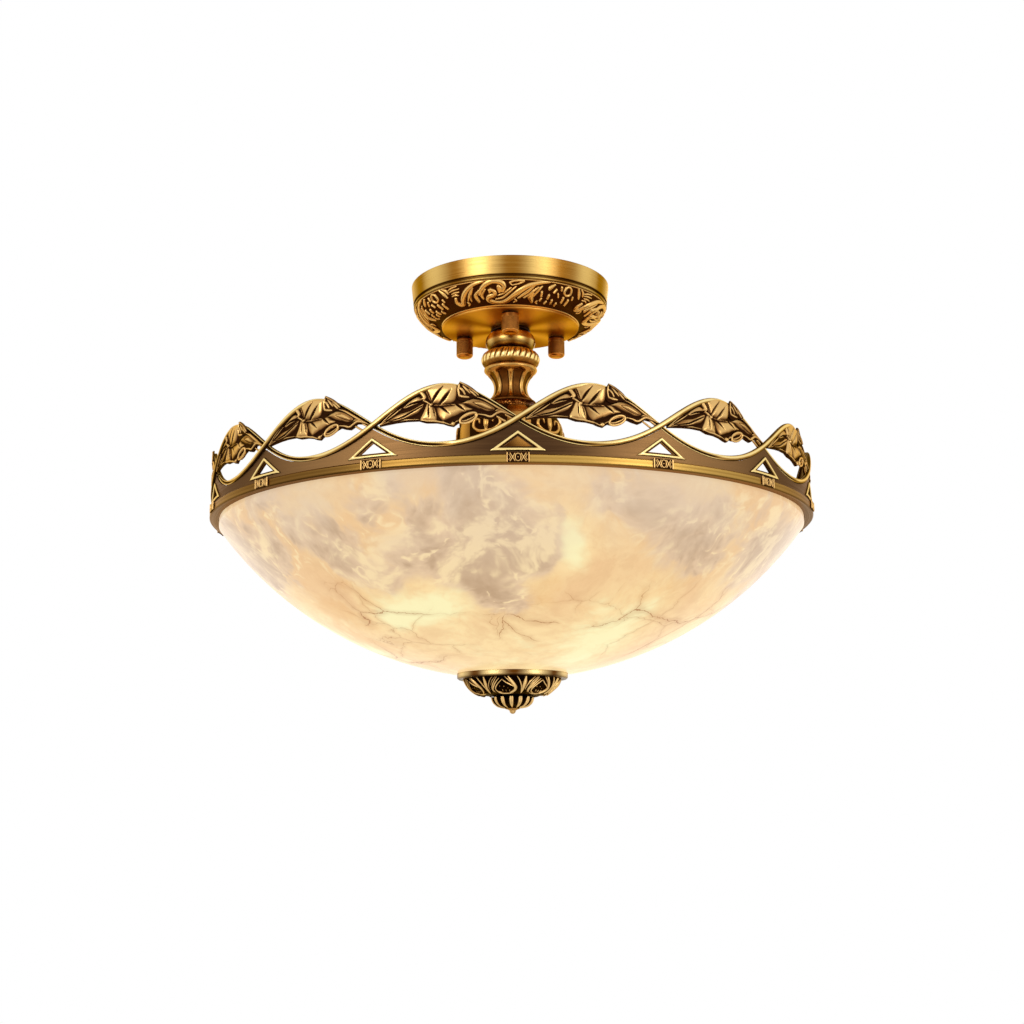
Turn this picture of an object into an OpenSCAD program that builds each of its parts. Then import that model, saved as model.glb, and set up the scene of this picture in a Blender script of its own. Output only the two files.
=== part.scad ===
// Alabaster semi-flush ceiling light with a pierced brass crown.
// The ceiling plane is z = 0, the light hangs down the -Z side, and -Y faces the room.

/* [Canopy] */
// Outer radius of the canopy rim where it meets the ceiling
canopy_r = 85.4; // [75:0.1:110]
// How much narrower the rim is at its lower edge
rim_taper = 1.6; // [0.5:0.1:4]
// Height of the plain brushed rim
rim_h = 15.2; // [10:0.1:25]
// Sheet thickness of the rim
rim_wall = 1.6; // [1:0.1:3]
// Height of the dark groove under the rim
groove_h = 1.6; // [1:0.1:4]
// Depth of that groove
groove_depth = 1.4; // [0.6:0.1:2]
// Section radius of the thin bead under the groove
bead_r = 1.2; // [0.8:0.1:2]
// Height of the cast ornament band
cast_h = 14.4; // [10:0.1:25]
// How far the cast band swells past a straight cone
cast_bulge = 4.2; // [1:0.1:6]
// Wall of the cast band
cast_wall = 3; // [2:0.1:4]
// Outer radius of the round plate that closes the canopy
plate_r = 59.1; // [52:0.1:70]
// Thickness of the round plate
plate_t = 2.6; // [2:0.1:5]
// Width of the seat that the cast band gives the plate
plate_seat = 4; // [2:0.1:6]

/* [Ceiling bracket] */
// Outer radius of the ceiling bracket
bracket_r = 62; // [58:0.5:70]
// Thickness of the ceiling bracket
bracket_t = 2.5; // [2:0.1:4]
// Distance between the two ceiling screws
screw_spacing = 90; // [80:1:100]
// Diameter of the ceiling screw holes
screw_hole_d = 5.5; // [4:0.1:7]
// Diameter of the hole for the house cable
cable_hole_d = 20; // [14:1:24]
// Distance of the cable hole behind the centre
cable_hole_y = 20; // [16:1:24]
// Diameter of the three mounting studs
stud_d = 6; // [5:0.1:7]
// Diameter of the circle that the studs stand on
stud_pcd = 93; // [80:0.5:100]
// Width across the flats of the stud lock nuts
lock_nut_af = 10; // [8:0.5:12]
// Height of the stud lock nuts
lock_nut_h = 4; // [3:0.1:6]
// Length of the terminal block
terminal_l = 30; // [20:1:40]
// Width of the terminal block
terminal_w = 14; // [10:1:18]
// Height of the terminal block
terminal_h = 12; // [8:1:16]
// Distance of the terminal block in front of the centre
terminal_y = -24; // [-30:1:-20]
// Number of wire ways in the terminal block
terminal_ways = 3; // [2:1:4]
// Diameter of each wire way
way_d = 4.2; // [2:0.1:5]
// Diameter of the earth screw's head
earth_head_d = 8; // [6:0.5:10]

/* [Thumb nuts] */
// Diameter of a knurled thumb nut
thumb_d = 14.6; // [11:0.1:18]
// Length of a thumb nut
thumb_h = 16.5; // [12:0.1:22]
// Radius of the rounded lower end of a thumb nut
thumb_round = 3; // [1:0.1:4]
// Thickness of the dark washer over each thumb nut
thumb_washer_t = 1.5; // [1:0.1:3]
// Number of mounting studs, each with a thumb nut
studs = 3; // [3:1:3]
// Number of knurl grooves round a thumb nut
knurls = 16; // [8:1:24]
// Depth of a knurl groove
knurl_depth = 0.4; // [0.2:0.05:0.8]
// How far a stud reaches into its thumb nut
stud_grip = 11; // [6:0.1:12]

/* [Stem] */
// Outer diameter of the threaded tube through the light
rod_d = 10; // [8:0.1:13]
// Bore of the threaded tube
rod_bore_d = 7; // [5:0.1:8]
// Width across the flats of the tube's lock nuts
rod_nut_af = 16; // [14:0.5:20]
// Height of the tube's lock nuts
rod_nut_h = 6; // [4:0.1:8]
// Diameter of the washer above the canopy plate
rod_washer_d = 22; // [18:0.5:30]
// Thickness of that washer
rod_washer_t = 1.5; // [1:0.1:3]
// Radius of the dark ring right under the canopy
neck_r = 17; // [14:0.1:20]
// Height of the dark ring
neck_h = 2.6; // [2:0.1:5]
// Radius of the smooth ball
ball_r = 21.5; // [18:0.1:26]
// Height of the smooth ball
ball_h = 17.6; // [12:0.1:22]
// Radius of the gadrooned knop
gadroon_r = 25.2; // [21:0.1:30]
// Height of the gadrooned knop
gadroon_h = 14.2; // [10:0.1:18]
// Number of ribs round the gadrooned knop
gadroon_ribs = 28; // [12:1:36]
// Slant of those ribs in degrees
gadroon_slant = 20; // [0:1:35]
// Radius of the fluted stem's upper flange
vase_top_r = 22.8; // [20:0.1:26]
// Radius of the fluted stem's waist
vase_waist_r = 13.4; // [11:0.1:16]
// Height of the fluted stem
vase_h = 32.5; // [28:0.1:40]
// Radius of the concave curve down the fluted stem
vase_curve_r = 17; // [16.5:0.1:20]
// Thickness of the fluted stem's upper flange
vase_flange_h = 3; // [2:0.1:5]
// Number of flutes
flutes = 8; // [6:1:10]
// Section radius of a flute
flute_r = 4.6; // [3:0.1:5]
// Depth of a flute
flute_depth = 1.6; // [0.8:0.1:2]
// Radius of the stippled collar under the fluted stem
collar_r = 20.4; // [17:0.1:23]
// Height of the stippled collar with its cove
collar_h = 6; // [4:0.1:9]

/* [Lamp cluster] */
// Outer radius of the dome over the lamps
dome_r = 44.6; // [42:0.1:54]
// Height of the dome with its skirt
dome_h = 41; // [36:0.1:50]
// Height of the dome's rounded shoulder
dome_shoulder_h = 21; // [15:0.1:26]
// Sheet thickness of the dome
dome_wall = 1.5; // [1:0.1:2.5]
// Thickness of the cast leaves on the dome
dome_leaf_t = 2; // [1:0.1:3]
// Radius of a cast leaf's broad middle
dome_leaf_r = 9; // [6:0.1:12]
// Radius of the two scrolls at a cast leaf's upper side
dome_scroll_r = 5; // [3:0.1:6]
// Radius of a cast leaf's top
dome_leaf_top_r = 4; // [2:0.1:6]
// Angle of the first lamp from the front
lamp_turn = -27; // [-36:1:36]
// Radius of the circle where the lamp arms leave the cluster plate
arm_ring_r = 31; // [28:0.5:34]
// Outer diameter of a lamp arm
arm_d = 10; // [8:0.1:12]
// Bore of a lamp arm
arm_bore_d = 7; // [4:0.1:8]
// Straight length of a lamp arm under the cluster plate
arm_drop = 8; // [4:0.1:16]
// Bend radius of a lamp arm
arm_bend_r = 20; // [15:0.5:26]
// How far a lamp leans out from straight down
lamp_lean = 45; // [30:1:50]
// Thickness of the cluster plate
cluster_t = 6; // [4:0.1:8]
// Diameter of a lamp holder
holder_d = 27; // [24:0.5:32]
// Length of a lamp holder
holder_l = 38; // [32:0.5:45]
// Height of the cone at a lamp holder's root
holder_cone_h = 7; // [4:0.5:12]
// How far a lamp holder's collar stands out
holder_collar = 2; // [1:0.1:4]
// Depth of the lamp holder's socket
socket_depth = 26; // [22:0.5:28]
// Diameter of a bulb's screw cap
cap_d = 14; // [12:0.1:16]
// Length of a bulb's screw cap
cap_l = 21; // [16:0.1:24]
// Diameter of a bulb's globe
globe_d = 45; // [35:0.5:48]
// Length of a bulb from cap tip to globe end
bulb_l = 76; // [68:0.5:82]
// Diameter of a bulb where the glass leaves the holder
bulb_neck_d = 19; // [15:0.5:24]
// Diameter of a bulb where its cone runs into the globe
bulb_shoulder_d = 38.7; // [28:0.1:42]
// Distance from that place to the globe's centre
bulb_shoulder_h = 12; // [8:0.5:16]

/* [Alabaster bowl] */
// Radius of the sphere that the bowl's outside follows
bowl_curve_r = 303; // [290:1:330]
// Radius of the bowl's lip
lip_r = 242.3; // [238:0.1:252]
// Lowest point of the bowl's outside, below the ceiling
bowl_low = 336.6; // [330:0.1:344]
// Depth of the bowl's upright lip
lip_h = 5.6; // [1:0.1:8]
// Wall of the alabaster
bowl_wall = 12; // [8:0.1:14]
// Radius of the hole in the bowl's centre
bowl_hole_r = 8; // [6.5:0.1:12]
// Thickness of the felt and rubber seals
seal_t = 1.2; // [0.8:0.1:2]
// Outer radius of the brass disc and the seal inside the bowl
inner_disc_r = 24; // [18:0.5:30]
// Radius of the flat seat and the seal under the bowl
seal_r = 27; // [20:0.5:36]
// Thickness of that disc
inner_disc_t = 2.5; // [1.5:0.1:4]
// Radial room that the stone leaves round its discs and seals
seat_room = 1; // [0.5:0.1:3]

/* [Crown] */
// Radial gap between the bowl's lip and the crown's wall
lip_gap = 3.7; // [1.5:0.1:5]
// Thickness of the crown's brushed wall
crown_wall = 2; // [1.5:0.1:3]
// Number of arches round the crown
bays = 15; // [10:1:18]
// Turn of the first window from the front, in degrees
crown_turn = 1.1; // [-12:0.1:12]
// Height of the strand's mean line above the bowl's lip
strand_rise = 32.8; // [26:0.1:40]
// Rise and fall of the strand about its mean
strand_swing = 20.75; // [14:0.05:24]
// Sharpening that makes arches tall and swags flat
strand_sharp = 1.9; // [0:0.05:3]
// Width of the strand across its face
strand_w = 4.2; // [3:0.1:6]
// Thickness of the strand
strand_t = 2.6; // [2:0.1:3]
// Weave of the strand in and out at each crossing
strand_weave = 1.5; // [1.3:0.05:2.5]
// Depth of the inward flange that rests on the bowl
flange_depth = 12; // [8:0.5:18]
// How far the polished band stands out from the crown's wall
band_t = 2; // [1.2:0.1:4]
// Height of the polished band
band_h = 6; // [4:0.1:12]
// Width of a window frame
window_w = 39.4; // [24:0.1:44]
// Height of a window frame
window_h = 14.4; // [8:0.1:16]
// Border of a window frame
window_border = 3.1; // [2:0.1:4]
// Height of a window frame's foot above the polished band
window_lift = 2.7; // [1:0.1:5]
// Relief of the window frames and clasps
relief = 1.3; // [0.6:0.1:2]
// Width of a clasp over the polished band
clasp_w = 16.3; // [8:0.1:24]
// How far a clasp stands up over the band
clasp_rise = 1.2; // [0:0.1:2]

/* [Leaf sprays] */
// Thickness of a spray's ground
spray_t = 1.8; // [1.2:0.1:2.5]
// Relief of the leaves and petals over the ground
leaf_relief = 1.2; // [0.5:0.1:1.6]
// Length of the large leaf
leaf_l = 30; // [20:0.5:36]
// Width of the large leaf
leaf_w = 11; // [7:0.5:14]
// Length of the rose bud
bud_l = 14; // [8:0.5:18]
// Width of the rose bud
bud_w = 6.5; // [4:0.5:9]
// Outer radius of the curl that hangs under the bud
curl_r = 4.6; // [3:0.1:5.5]
// Width of the stems
stem_w = 1.8; // [1.2:0.1:2.5]

/* [Finial] */
// Radius of the brushed disc under the bowl
cup_r = 45.8; // [42:0.1:52]
// Height of that disc's edge
cup_edge_h = 4.8; // [4:0.1:7]
// Width of the raised edge that closes the disc against the stone
cup_lip = 1.6; // [1:0.1:3]
// How far the disc's edge stands out over the leaf cup
cup_overhang = 4.8; // [2:0.1:8]
// Section radius of the leaf cup
leaf_cup_curve = 21.2; // [20:0.1:26]
// Number of leaves round the leaf cup
cup_leaves = 7; // [5:1:12]
// Depth of the grooves between the leaves and between the knob's ribs
leaf_groove = 1.2; // [0.6:0.1:2]
// Width of those grooves
leaf_groove_w = 1.6; // [0.8:0.1:3]
// Radius of the finial knob
knob_r = 17.8; // [15:0.1:20]
// Section radius of the finial knob
knob_curve = 9.3; // [8:0.1:12]
// Number of ribs round the finial knob
knob_ribs = 14; // [8:1:16]
// Depth of the knob's threaded bore
knob_bore = 7; // [5:0.1:9]
// Radius of the small ball at the tip
tip_r = 2.6; // [1.5:0.1:4]
// Height of the cone between the knob and the tip ball
tip_drop = 1.8; // [1:0.1:6]

/* [Clearances] */
// Radial clearance of a piece that turns or slides on a shaft
run_fit = 0.05; // [0.02:0.01:0.1]
// Gap between pieces that lie beside each other
seat_gap = 0.15; // [0.1:0.01:0.3]
// Radial clearance of a hole round a stud, a screw or the tube
hole_fit = 0.3; // [0.2:0.05:0.6]

/* [Hidden] */
$fn = 96;
brass = [0.78, 0.6, 0.22];
bright = [0.93, 0.76, 0.36];
aged = [0.45, 0.28, 0.1];
steel = [0.72, 0.73, 0.75];
stone = [0.97, 0.87, 0.68];
felt = [0.25, 0.22, 0.2];
eps = 0.01;

// Levels down the axis
z_bracket = -bracket_t;
z_bead = -rim_h - groove_h - bead_r;
z_cast = z_bead - bead_r - 0.3;
z_plate = z_cast - cast_h;
z_plate_low = z_plate - plate_t;
z_thumb = z_plate_low - thumb_washer_t;
z_ball = z_plate_low - neck_h;
z_gadroon = z_ball - ball_h;
z_vase = z_gadroon - gadroon_h;
z_collar = z_vase - vase_h;
z_dome = z_collar - collar_h;
z_dome_low = z_dome - dome_h;
z_cluster = z_dome_low + cluster_t + 1;
z_cluster_low = z_cluster - cluster_t;
z_arm_bend = z_cluster_low - arm_drop;
tube_h = rod_nut_h + rod_washer_t + 4;
z_tube_top = z_plate + tube_h;
z_tube_low = z_cluster_low - rod_nut_h - rod_d;
coupler_h = 2 * rod_d;
z_bowl_centre = bowl_curve_r - bowl_low;
z_bowl_edge = stone_z(lip_r);
z_lip = z_bowl_edge + lip_h;
z_flange = z_lip + seal_t;
z_strand = z_lip + strand_rise;
z_band_low = z_lip - 1;
z_band = z_band_low + band_h;
bowl_inner_r = bowl_curve_r - bowl_wall;
bowl_floor = z_bowl_centre - bowl_inner_r;
z_inner_seat = bowl_floor - 0.2;
z_outer_seat = stone_z(seal_r);
z_seal_low = z_outer_seat - seal_t;
z_inner_disc = z_inner_seat + seal_t + inner_disc_t;
z_cup = stone_z(cup_r);
z_cup_low = z_cup - cup_edge_h;
leaf_cup_r = cup_r - cup_overhang;
leaf_cup_lean = 18;
leaf_cup_axis = leaf_cup_r - leaf_cup_curve * cos(leaf_cup_lean);
z_leaf_cup_axis = z_cup_low + leaf_cup_curve * sin(leaf_cup_lean);
z_leaf_cup_low = z_leaf_cup_axis - leaf_cup_curve;
knob_axis = knob_r - knob_curve;
z_knob_low = z_leaf_cup_low - knob_curve;
z_tip = z_knob_low - tip_drop;

// Number of lamps, each with a bulb of its own
lamps = 5;

// Phase between two rings of points along the strand
strand_step = 12;

// Derived radii
stud_ring = stud_pcd / 2;
ceiling_hole_x = screw_spacing / 2;
rim_low_r = canopy_r - rim_taper;
crown_in = lip_r + lip_gap;
crown_r = crown_in + crown_wall;
band_r = crown_r + band_t;
strand_r = crown_r - crown_wall / 2 + 0.3;
bay = 360 / bays;
hole_r = rod_d / 2 + hole_fit;

// Height of the stone's outside at a radius
function stone_z(r) = z_bowl_centre - sqrt(pow(bowl_curve_r, 2) - pow(r, 2));

// A point on a flat outline: radius r from point c, at angle a
function on_arc(c, r, a) = [c[0] + r * cos(a), c[1] + r * sin(a)];

// Points of a circular arc that bulges by b from the chord p to q
function bulged(p, q, b, n) =
    let (
        d = [q[0] - p[0], q[1] - p[1]],
        l = norm(d),
        r = (l * l / 4 + b * b) / (2 * b),
        m = [(p[0] + q[0]) / 2, (p[1] + q[1]) / 2],
        u = [d[1] / l, -d[0] / l],
        c = [m[0] + u[0] * (r - b), m[1] + u[1] * (r - b)],
        a0 = atan2(p[1] - c[1], p[0] - c[0]),
        a1 = atan2(q[1] - c[1], q[0] - c[0])
    )
    [for (i = [0:n]) on_arc(c, r, a0 + (a1 - a0) * i / n)];

// Height of the strand's middle line at a phase of 0 over an arch and 180 in a swag
function strand_z(p) = z_strand + strand_swing * cos(p) + strand_sharp * cos(2 * p);

// Phase of the strand that makes the arch over a bay, at an angle from the bay's middle
function arch_phase(a) = a / bay * 180;

// Slope of the strand at a phase, as rise over run along the crown
function strand_slope(p) =
    -(strand_swing * sin(p) + 2 * strand_sharp * sin(2 * p)) * PI / (bay * PI / 180 * strand_r);

// Half of the strand's width measured straight up at a phase
function strand_half(p) = strand_w / 2 * sqrt(1 + pow(strand_slope(p), 2));

// Turn children from the front to an angle, positive towards +X
module at_angle(a) {
    rotate([0, 0, a]) children();
}

// Copy children to every window, under the crossings of the strand
module each_window() {
    for (i = [0:bays - 1]) at_angle(crown_turn + i * bay) children();
}

// Copy children to the middle of every bay
module each_bay() {
    for (i = [0:bays - 1]) at_angle(crown_turn + (i + 0.5) * bay) children();
}

// A ring of rectangular section between two radii and two levels
module ring(r_out, r_in, z_low, z_high) {
    rotate_extrude()
        translate([r_in, z_low]) square([r_out - r_in, z_high - z_low]);
}

// A sector of such a ring, centred on the front
module sector(r_out, r_in, z_low, z_high, a) {
    rotate([0, 0, -90 - a / 2])
        rotate_extrude(angle = a)
            translate([r_in, z_low]) square([r_out - r_in, z_high - z_low]);
}

// A flat outline in x and z pushed out of the front as a prism between two distances
module outward(from, to) {
    translate([0, -from, 0])
        rotate([90, 0, 0])
            linear_extrude(height = to - from) children();
}

// A hexagon nut with a round hole, standing up from z = 0
module hex_nut(af, h, bore_r) {
    difference() {
        cylinder(d = af / cos(30), h = h, $fn = 6);
        translate([0, 0, -1]) cylinder(r = bore_r, h = h + 2);
    }
}

// Place children at each mounting stud
module each_stud() {
    for (i = [0:studs - 1]) at_angle(i * 360 / studs) translate([0, -stud_ring, 0]) children();
}

module ceiling_bracket() {
    color(steel) difference() {
        translate([0, 0, z_bracket]) cylinder(r = bracket_r, h = bracket_t);
        for (s = [-1, 1])
            translate([s * ceiling_hole_x, 0, z_bracket - 1])
                cylinder(d = screw_hole_d, h = bracket_t + 2);
        translate([0, cable_hole_y, z_bracket - 1])
            cylinder(d = cable_hole_d, h = bracket_t + 2);
        each_stud()
            translate([0, 0, z_bracket - 1]) cylinder(r = stud_d / 2 + run_fit, h = bracket_t + 2);
    }
}

module bracket_studs() {
    z_end = z_thumb - stud_grip;
    color(steel) each_stud() translate([0, 0, z_end]) cylinder(d = stud_d, h = -0.3 - z_end);
}

module stud_lock_nuts() {
    color(steel) each_stud()
        translate([0, 0, z_bracket - lock_nut_h]) hex_nut(lock_nut_af, lock_nut_h, stud_d / 2 + run_fit);
}

module earth_screw() {
    at = [terminal_l / 2 + earth_head_d, terminal_y, z_bracket];
    color(brass) translate(at) mirror([0, 0, 1]) difference() {
        union() {
            cylinder(d = earth_head_d, h = 3);
            cylinder(d = earth_head_d + 3, h = 1);
        }
        translate([-earth_head_d, -0.5, 2]) cube([2 * earth_head_d, 1, 2]);
    }
}

// Place children at each way of the terminal block
module each_way() {
    for (i = [0:terminal_ways - 1])
        translate([terminal_l * ((i + 0.5) / terminal_ways - 0.5), terminal_y, z_bracket]) children();
}

module terminal_block() {
    color("white") difference() {
        translate([-terminal_l / 2, terminal_y - terminal_w / 2, z_bracket - terminal_h])
            cube([terminal_l, terminal_w, terminal_h]);
        each_way() {
            translate([0, 0, -terminal_h / 2])
                rotate([90, 0, 0]) cylinder(d = way_d, h = terminal_w + 2, center = true);
            translate([0, 0, -terminal_h - 1]) cylinder(d = way_d, h = terminal_h / 2 - way_d / 2);
        }
    }
}

module terminal_screws() {
    screw_h = terminal_h / 2 - way_d / 2 - 1.5;
    color(brass) each_way() translate([0, 0, -terminal_h + 0.5]) difference() {
        cylinder(r = way_d / 2 - run_fit, h = screw_h);
        translate([-way_d, -0.3, -1]) cube([2 * way_d, 0.6, 1.6]);
    }
}

module canopy_rim() {
    groove_r = rim_low_r - groove_depth;
    bead = [for (i = [0:8]) on_arc([groove_r, z_bead], bead_r, 90 - i * 22.5)];
    color(brass) rotate_extrude() polygon(concat(
        [[canopy_r, 0], [rim_low_r, -rim_h], [groove_r, -rim_h]], bead,
        [
            [groove_r, z_cast], [groove_r - cast_wall - 0.4, z_cast],
            [groove_r - cast_wall - 0.4, z_cast + rim_wall], [groove_r - rim_wall, z_cast + rim_wall],
            [groove_r - rim_wall, -rim_h + rim_wall], [rim_low_r - rim_wall, -rim_h + rim_wall],
            [canopy_r - rim_wall, 0]
        ]
    ));
}

module canopy_cast_band() {
    top_r = rim_low_r - groove_depth;
    low_r = plate_r - 0.8;
    outer = bulged([top_r, z_cast], [low_r, z_plate], cast_bulge, 10);
    inner = bulged([top_r - cast_wall, z_cast], [low_r - cast_wall, z_plate + cast_wall],
        cast_bulge, 10);
    back = [for (i = [len(inner) - 1:-1:0]) inner[i]];
    foot = [[low_r - plate_seat, z_plate], [low_r - plate_seat, z_plate + cast_wall]];
    color(aged) rotate_extrude() polygon(concat(outer, foot, back));
}

module canopy_plate() {
    edge = plate_t / 2;
    color(bright) difference() {
        rotate_extrude() {
            translate([0, z_plate_low]) square([plate_r - edge, plate_t]);
            translate([plate_r - edge, z_plate - edge]) circle(r = edge, $fn = 32);
        }
        translate([0, 0, z_plate_low - 1]) cylinder(r = hole_r, h = plate_t + 2);
        each_stud()
            translate([0, 0, z_plate_low - 1]) cylinder(r = stud_d / 2 + hole_fit, h = plate_t + 2);
    }
}

// One thumb nut on its own axis, hanging from z = 0
module thumb_nut() {
    r = thumb_d / 2;
    foot = [for (i = [0:6])
        on_arc([r - thumb_round, -thumb_h + thumb_round], thumb_round, -i * 15)];
    difference() {
        rotate_extrude() polygon(concat(
            [[stud_d / 2 + run_fit, 0], [r, 0], [r, -1.8], [r - 0.4, -2.2], [r, -2.6]], foot,
            [[0, -thumb_h], [0, -stud_grip - 1], [stud_d / 2 + run_fit, -stud_grip - 1]]
        ));
        for (i = [0:knurls - 1])
            rotate([0, 0, i * 360 / knurls])
                translate([r + 1 - knurl_depth, 0, -thumb_h + thumb_round + 0.6])
                    cylinder(r = 1, h = thumb_h - thumb_round - 4.4, $fn = 24);
    }
}

module nut_washer() {
    translate([0, 0, z_thumb]) difference() {
        cylinder(d = thumb_d - 1, h = thumb_washer_t);
        translate([0, 0, -1]) cylinder(r = stud_d / 2 + run_fit, h = thumb_washer_t + 2);
    }
}

// A thumb nut at one of the studs, counted from the front towards +X
module thumb_nut_at(i) {
    color(aged) at_angle(i * 360 / studs) translate([0, -stud_ring, z_thumb]) thumb_nut();
}

module nut_washer_at(i) {
    color(felt) at_angle(i * 360 / studs) translate([0, -stud_ring, 0]) nut_washer();
}

module thumb_nut_front() { thumb_nut_at(0); }
module thumb_nut_right() { thumb_nut_at(1); }
module thumb_nut_left() { thumb_nut_at(2); }
module nut_washer_front() { nut_washer_at(0); }
module nut_washer_right() { nut_washer_at(1); }
module nut_washer_left() { nut_washer_at(2); }

module stem_tube() {
    color(steel) difference() {
        translate([0, 0, z_tube_low]) cylinder(d = rod_d, h = z_tube_top - z_tube_low);
        translate([0, 0, z_tube_low - 1]) cylinder(d = rod_bore_d, h = z_tube_top - z_tube_low + 2);
    }
}

module tube_washer() {
    color(steel) ring(rod_washer_d / 2, rod_d / 2 + run_fit, z_plate, z_plate + rod_washer_t);
}

module tube_nut() {
    color(steel) translate([0, 0, z_plate + rod_washer_t])
        hex_nut(rod_nut_af, rod_nut_h, rod_d / 2 + run_fit);
}

module neck_ring() {
    r = neck_h / 2;
    color(aged) rotate_extrude() {
        translate([hole_r, z_ball]) square([neck_r - r - hole_r, neck_h]);
        translate([neck_r - r, z_ball + r]) circle(r = r, $fn = 32);
    }
}

module stem_ball() {
    r = ball_h / 2;
    color(brass) rotate_extrude() difference() {
        union() {
            translate([hole_r, z_gadroon]) square([ball_r - r - hole_r, ball_h]);
            translate([ball_r - r, z_gadroon + r]) circle(r = r);
        }
        translate([0, z_gadroon - 1]) square([hole_r, ball_h + 2]);
    }
}

module gadroon_knop() {
    r = gadroon_h / 2;
    rib_pitch = PI * gadroon_r / gadroon_ribs;
    color(bright) difference() {
        rotate_extrude() {
            translate([hole_r, z_vase]) square([gadroon_r - r - hole_r, gadroon_h]);
            translate([gadroon_r - r, z_vase + r]) circle(r = r);
        }
        for (i = [0:gadroon_ribs - 1])
            rotate([0, 0, i * 360 / gadroon_ribs])
                translate([gadroon_r + rib_pitch * 0.1, 0, z_vase + r])
                    rotate([gadroon_slant, 0, 0])
                        cylinder(r = rib_pitch * 0.3, h = gadroon_h * 1.2, center = true, $fn = 24);
    }
}

module fluted_stem() {
    curve = [vase_waist_r + vase_curve_r, z_collar + (vase_h - vase_flange_h) / 2 - 0.6];
    color(aged) difference() {
        rotate_extrude() difference() {
            translate([hole_r, z_collar]) square([vase_top_r - hole_r, vase_h]);
            translate(curve) circle(r = vase_curve_r, $fn = 120);
        }
        for (i = [0:flutes - 1])
            rotate([0, 0, (i + 0.5) * 360 / flutes])
                translate([curve[0], 0, curve[1]])
                    rotate([90, 0, 0])
                        rotate_extrude()
                            translate([vase_curve_r + flute_depth - flute_r, 0])
                                circle(r = flute_r, $fn = 48);
    }
}

module stippled_collar() {
    cove = collar_h / 3;
    color(aged) rotate_extrude() difference() {
        translate([hole_r, z_dome]) square([collar_r - hole_r, collar_h]);
        translate([collar_r, z_collar - cove]) circle(r = cove, $fn = 48);
    }
}

// Outline of the dome's outer face from the collar to the skirt, let in by a thickness
function dome_line(t) =
    let (c = [dome_r - dome_shoulder_h, z_dome - dome_shoulder_h])
    [for (i = [0:9]) on_arc(c, dome_shoulder_h - t, 90 - i * 10)];

module cluster_dome() {
    skin = dome_line(0);
    lining = [for (i = [9:-1:0]) dome_line(dome_wall)[i]];
    color(brass) rotate_extrude() polygon(concat(
        [[hole_r, z_dome]], skin, [[dome_r, z_dome_low], [dome_r - dome_wall, z_dome_low]],
        lining, [[hole_r, z_dome - dome_wall]]
    ));
}

// Section of the cast leaves: the dome's shoulder and the top of its skirt, grown by a thickness
module dome_leaf_section(t) {
    polygon(concat(
        [[dome_r - dome_shoulder_h, z_dome - dome_shoulder_h - dome_leaf_r]], dome_line(-t),
        [[dome_r + t, z_dome - dome_shoulder_h - dome_leaf_r]]
    ));
}

// One cast leaf laid on the dome's shoulder, at the front
module dome_leaf() {
    middle = z_dome - dome_shoulder_h + dome_leaf_r / 4;
    intersection() {
        rotate_extrude() difference() {
            dome_leaf_section(seat_gap + dome_leaf_t);
            dome_leaf_section(seat_gap);
        }
        outward(0, 2 * dome_r) union() {
            translate([0, middle]) circle(r = dome_leaf_r, $fn = 32);
            for (s = [-1, 1])
                translate([s * (dome_scroll_r + 1), middle + dome_leaf_r])
                    circle(r = dome_scroll_r, $fn = 24);
            translate([0, middle + dome_leaf_r + dome_scroll_r])
                circle(r = dome_leaf_top_r, $fn = 24);
        }
    }
}

// Place children at each lamp
module each_lamp() {
    for (i = [0:lamps - 1]) at_angle(lamp_turn + i * 360 / lamps) children();
}

module dome_leaves() {
    color(bright) each_lamp() dome_leaf();
}

module cluster_plate() {
    color(steel) difference() {
        translate([0, 0, z_cluster_low])
            cylinder(r = dome_r - dome_wall - seat_gap, h = cluster_t);
        translate([0, 0, z_cluster_low - 1]) cylinder(r = hole_r, h = cluster_t + 2);
        each_lamp()
            translate([0, -arm_ring_r, z_cluster_low - 1])
                cylinder(r = arm_d / 2 + run_fit, h = cluster_t + 2);
    }
}

module cluster_spacer() {
    color(steel) ring(rod_nut_af / 2, rod_d / 2 + run_fit, z_cluster, z_dome - dome_wall);
}

module cluster_nut() {
    color(steel) translate([0, 0, z_cluster_low - rod_nut_h])
        hex_nut(rod_nut_af, rod_nut_h, rod_d / 2 + run_fit);
}

// Bent end of a lamp arm of diameter d, at the front, grown past its ends by over
module arm_bend(d, over) {
    translate([0, -arm_ring_r - arm_bend_r, z_arm_bend])
        rotate([90, 0, 90])
            rotate([0, 0, -lamp_lean - over])
                rotate_extrude(angle = lamp_lean + 2 * over)
                    translate([arm_bend_r, 0]) circle(d = d);
}

// A lamp arm: a tube through the plate, a shoulder under it and the bend
module lamp_arms() {
    shoulder_d = arm_d + 4;
    bore_d = arm_bore_d + 0.6;
    color(brass) each_lamp() difference() {
        union() {
            translate([0, -arm_ring_r, z_arm_bend + 2])
                cylinder(d = arm_d, h = z_cluster + 1 - z_arm_bend);
            translate([0, -arm_ring_r, z_arm_bend - 1])
                cylinder(d = shoulder_d, h = arm_drop + 1 - seat_gap);
            arm_bend(arm_d, 0);
        }
        translate([0, -arm_ring_r, z_arm_bend]) cylinder(d = bore_d, h = z_cluster + 5 - z_arm_bend);
        arm_bend(arm_bore_d, 1);
    }
}

// Move children to the end of the lamp arm at the front, with +Z along the lamp
module on_lamp() {
    translate([0, -arm_ring_r - arm_bend_r * (1 - cos(lamp_lean)),
        z_arm_bend - arm_bend_r * sin(lamp_lean)])
        rotate([180 - lamp_lean, 0, 0]) children();
}

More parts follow.
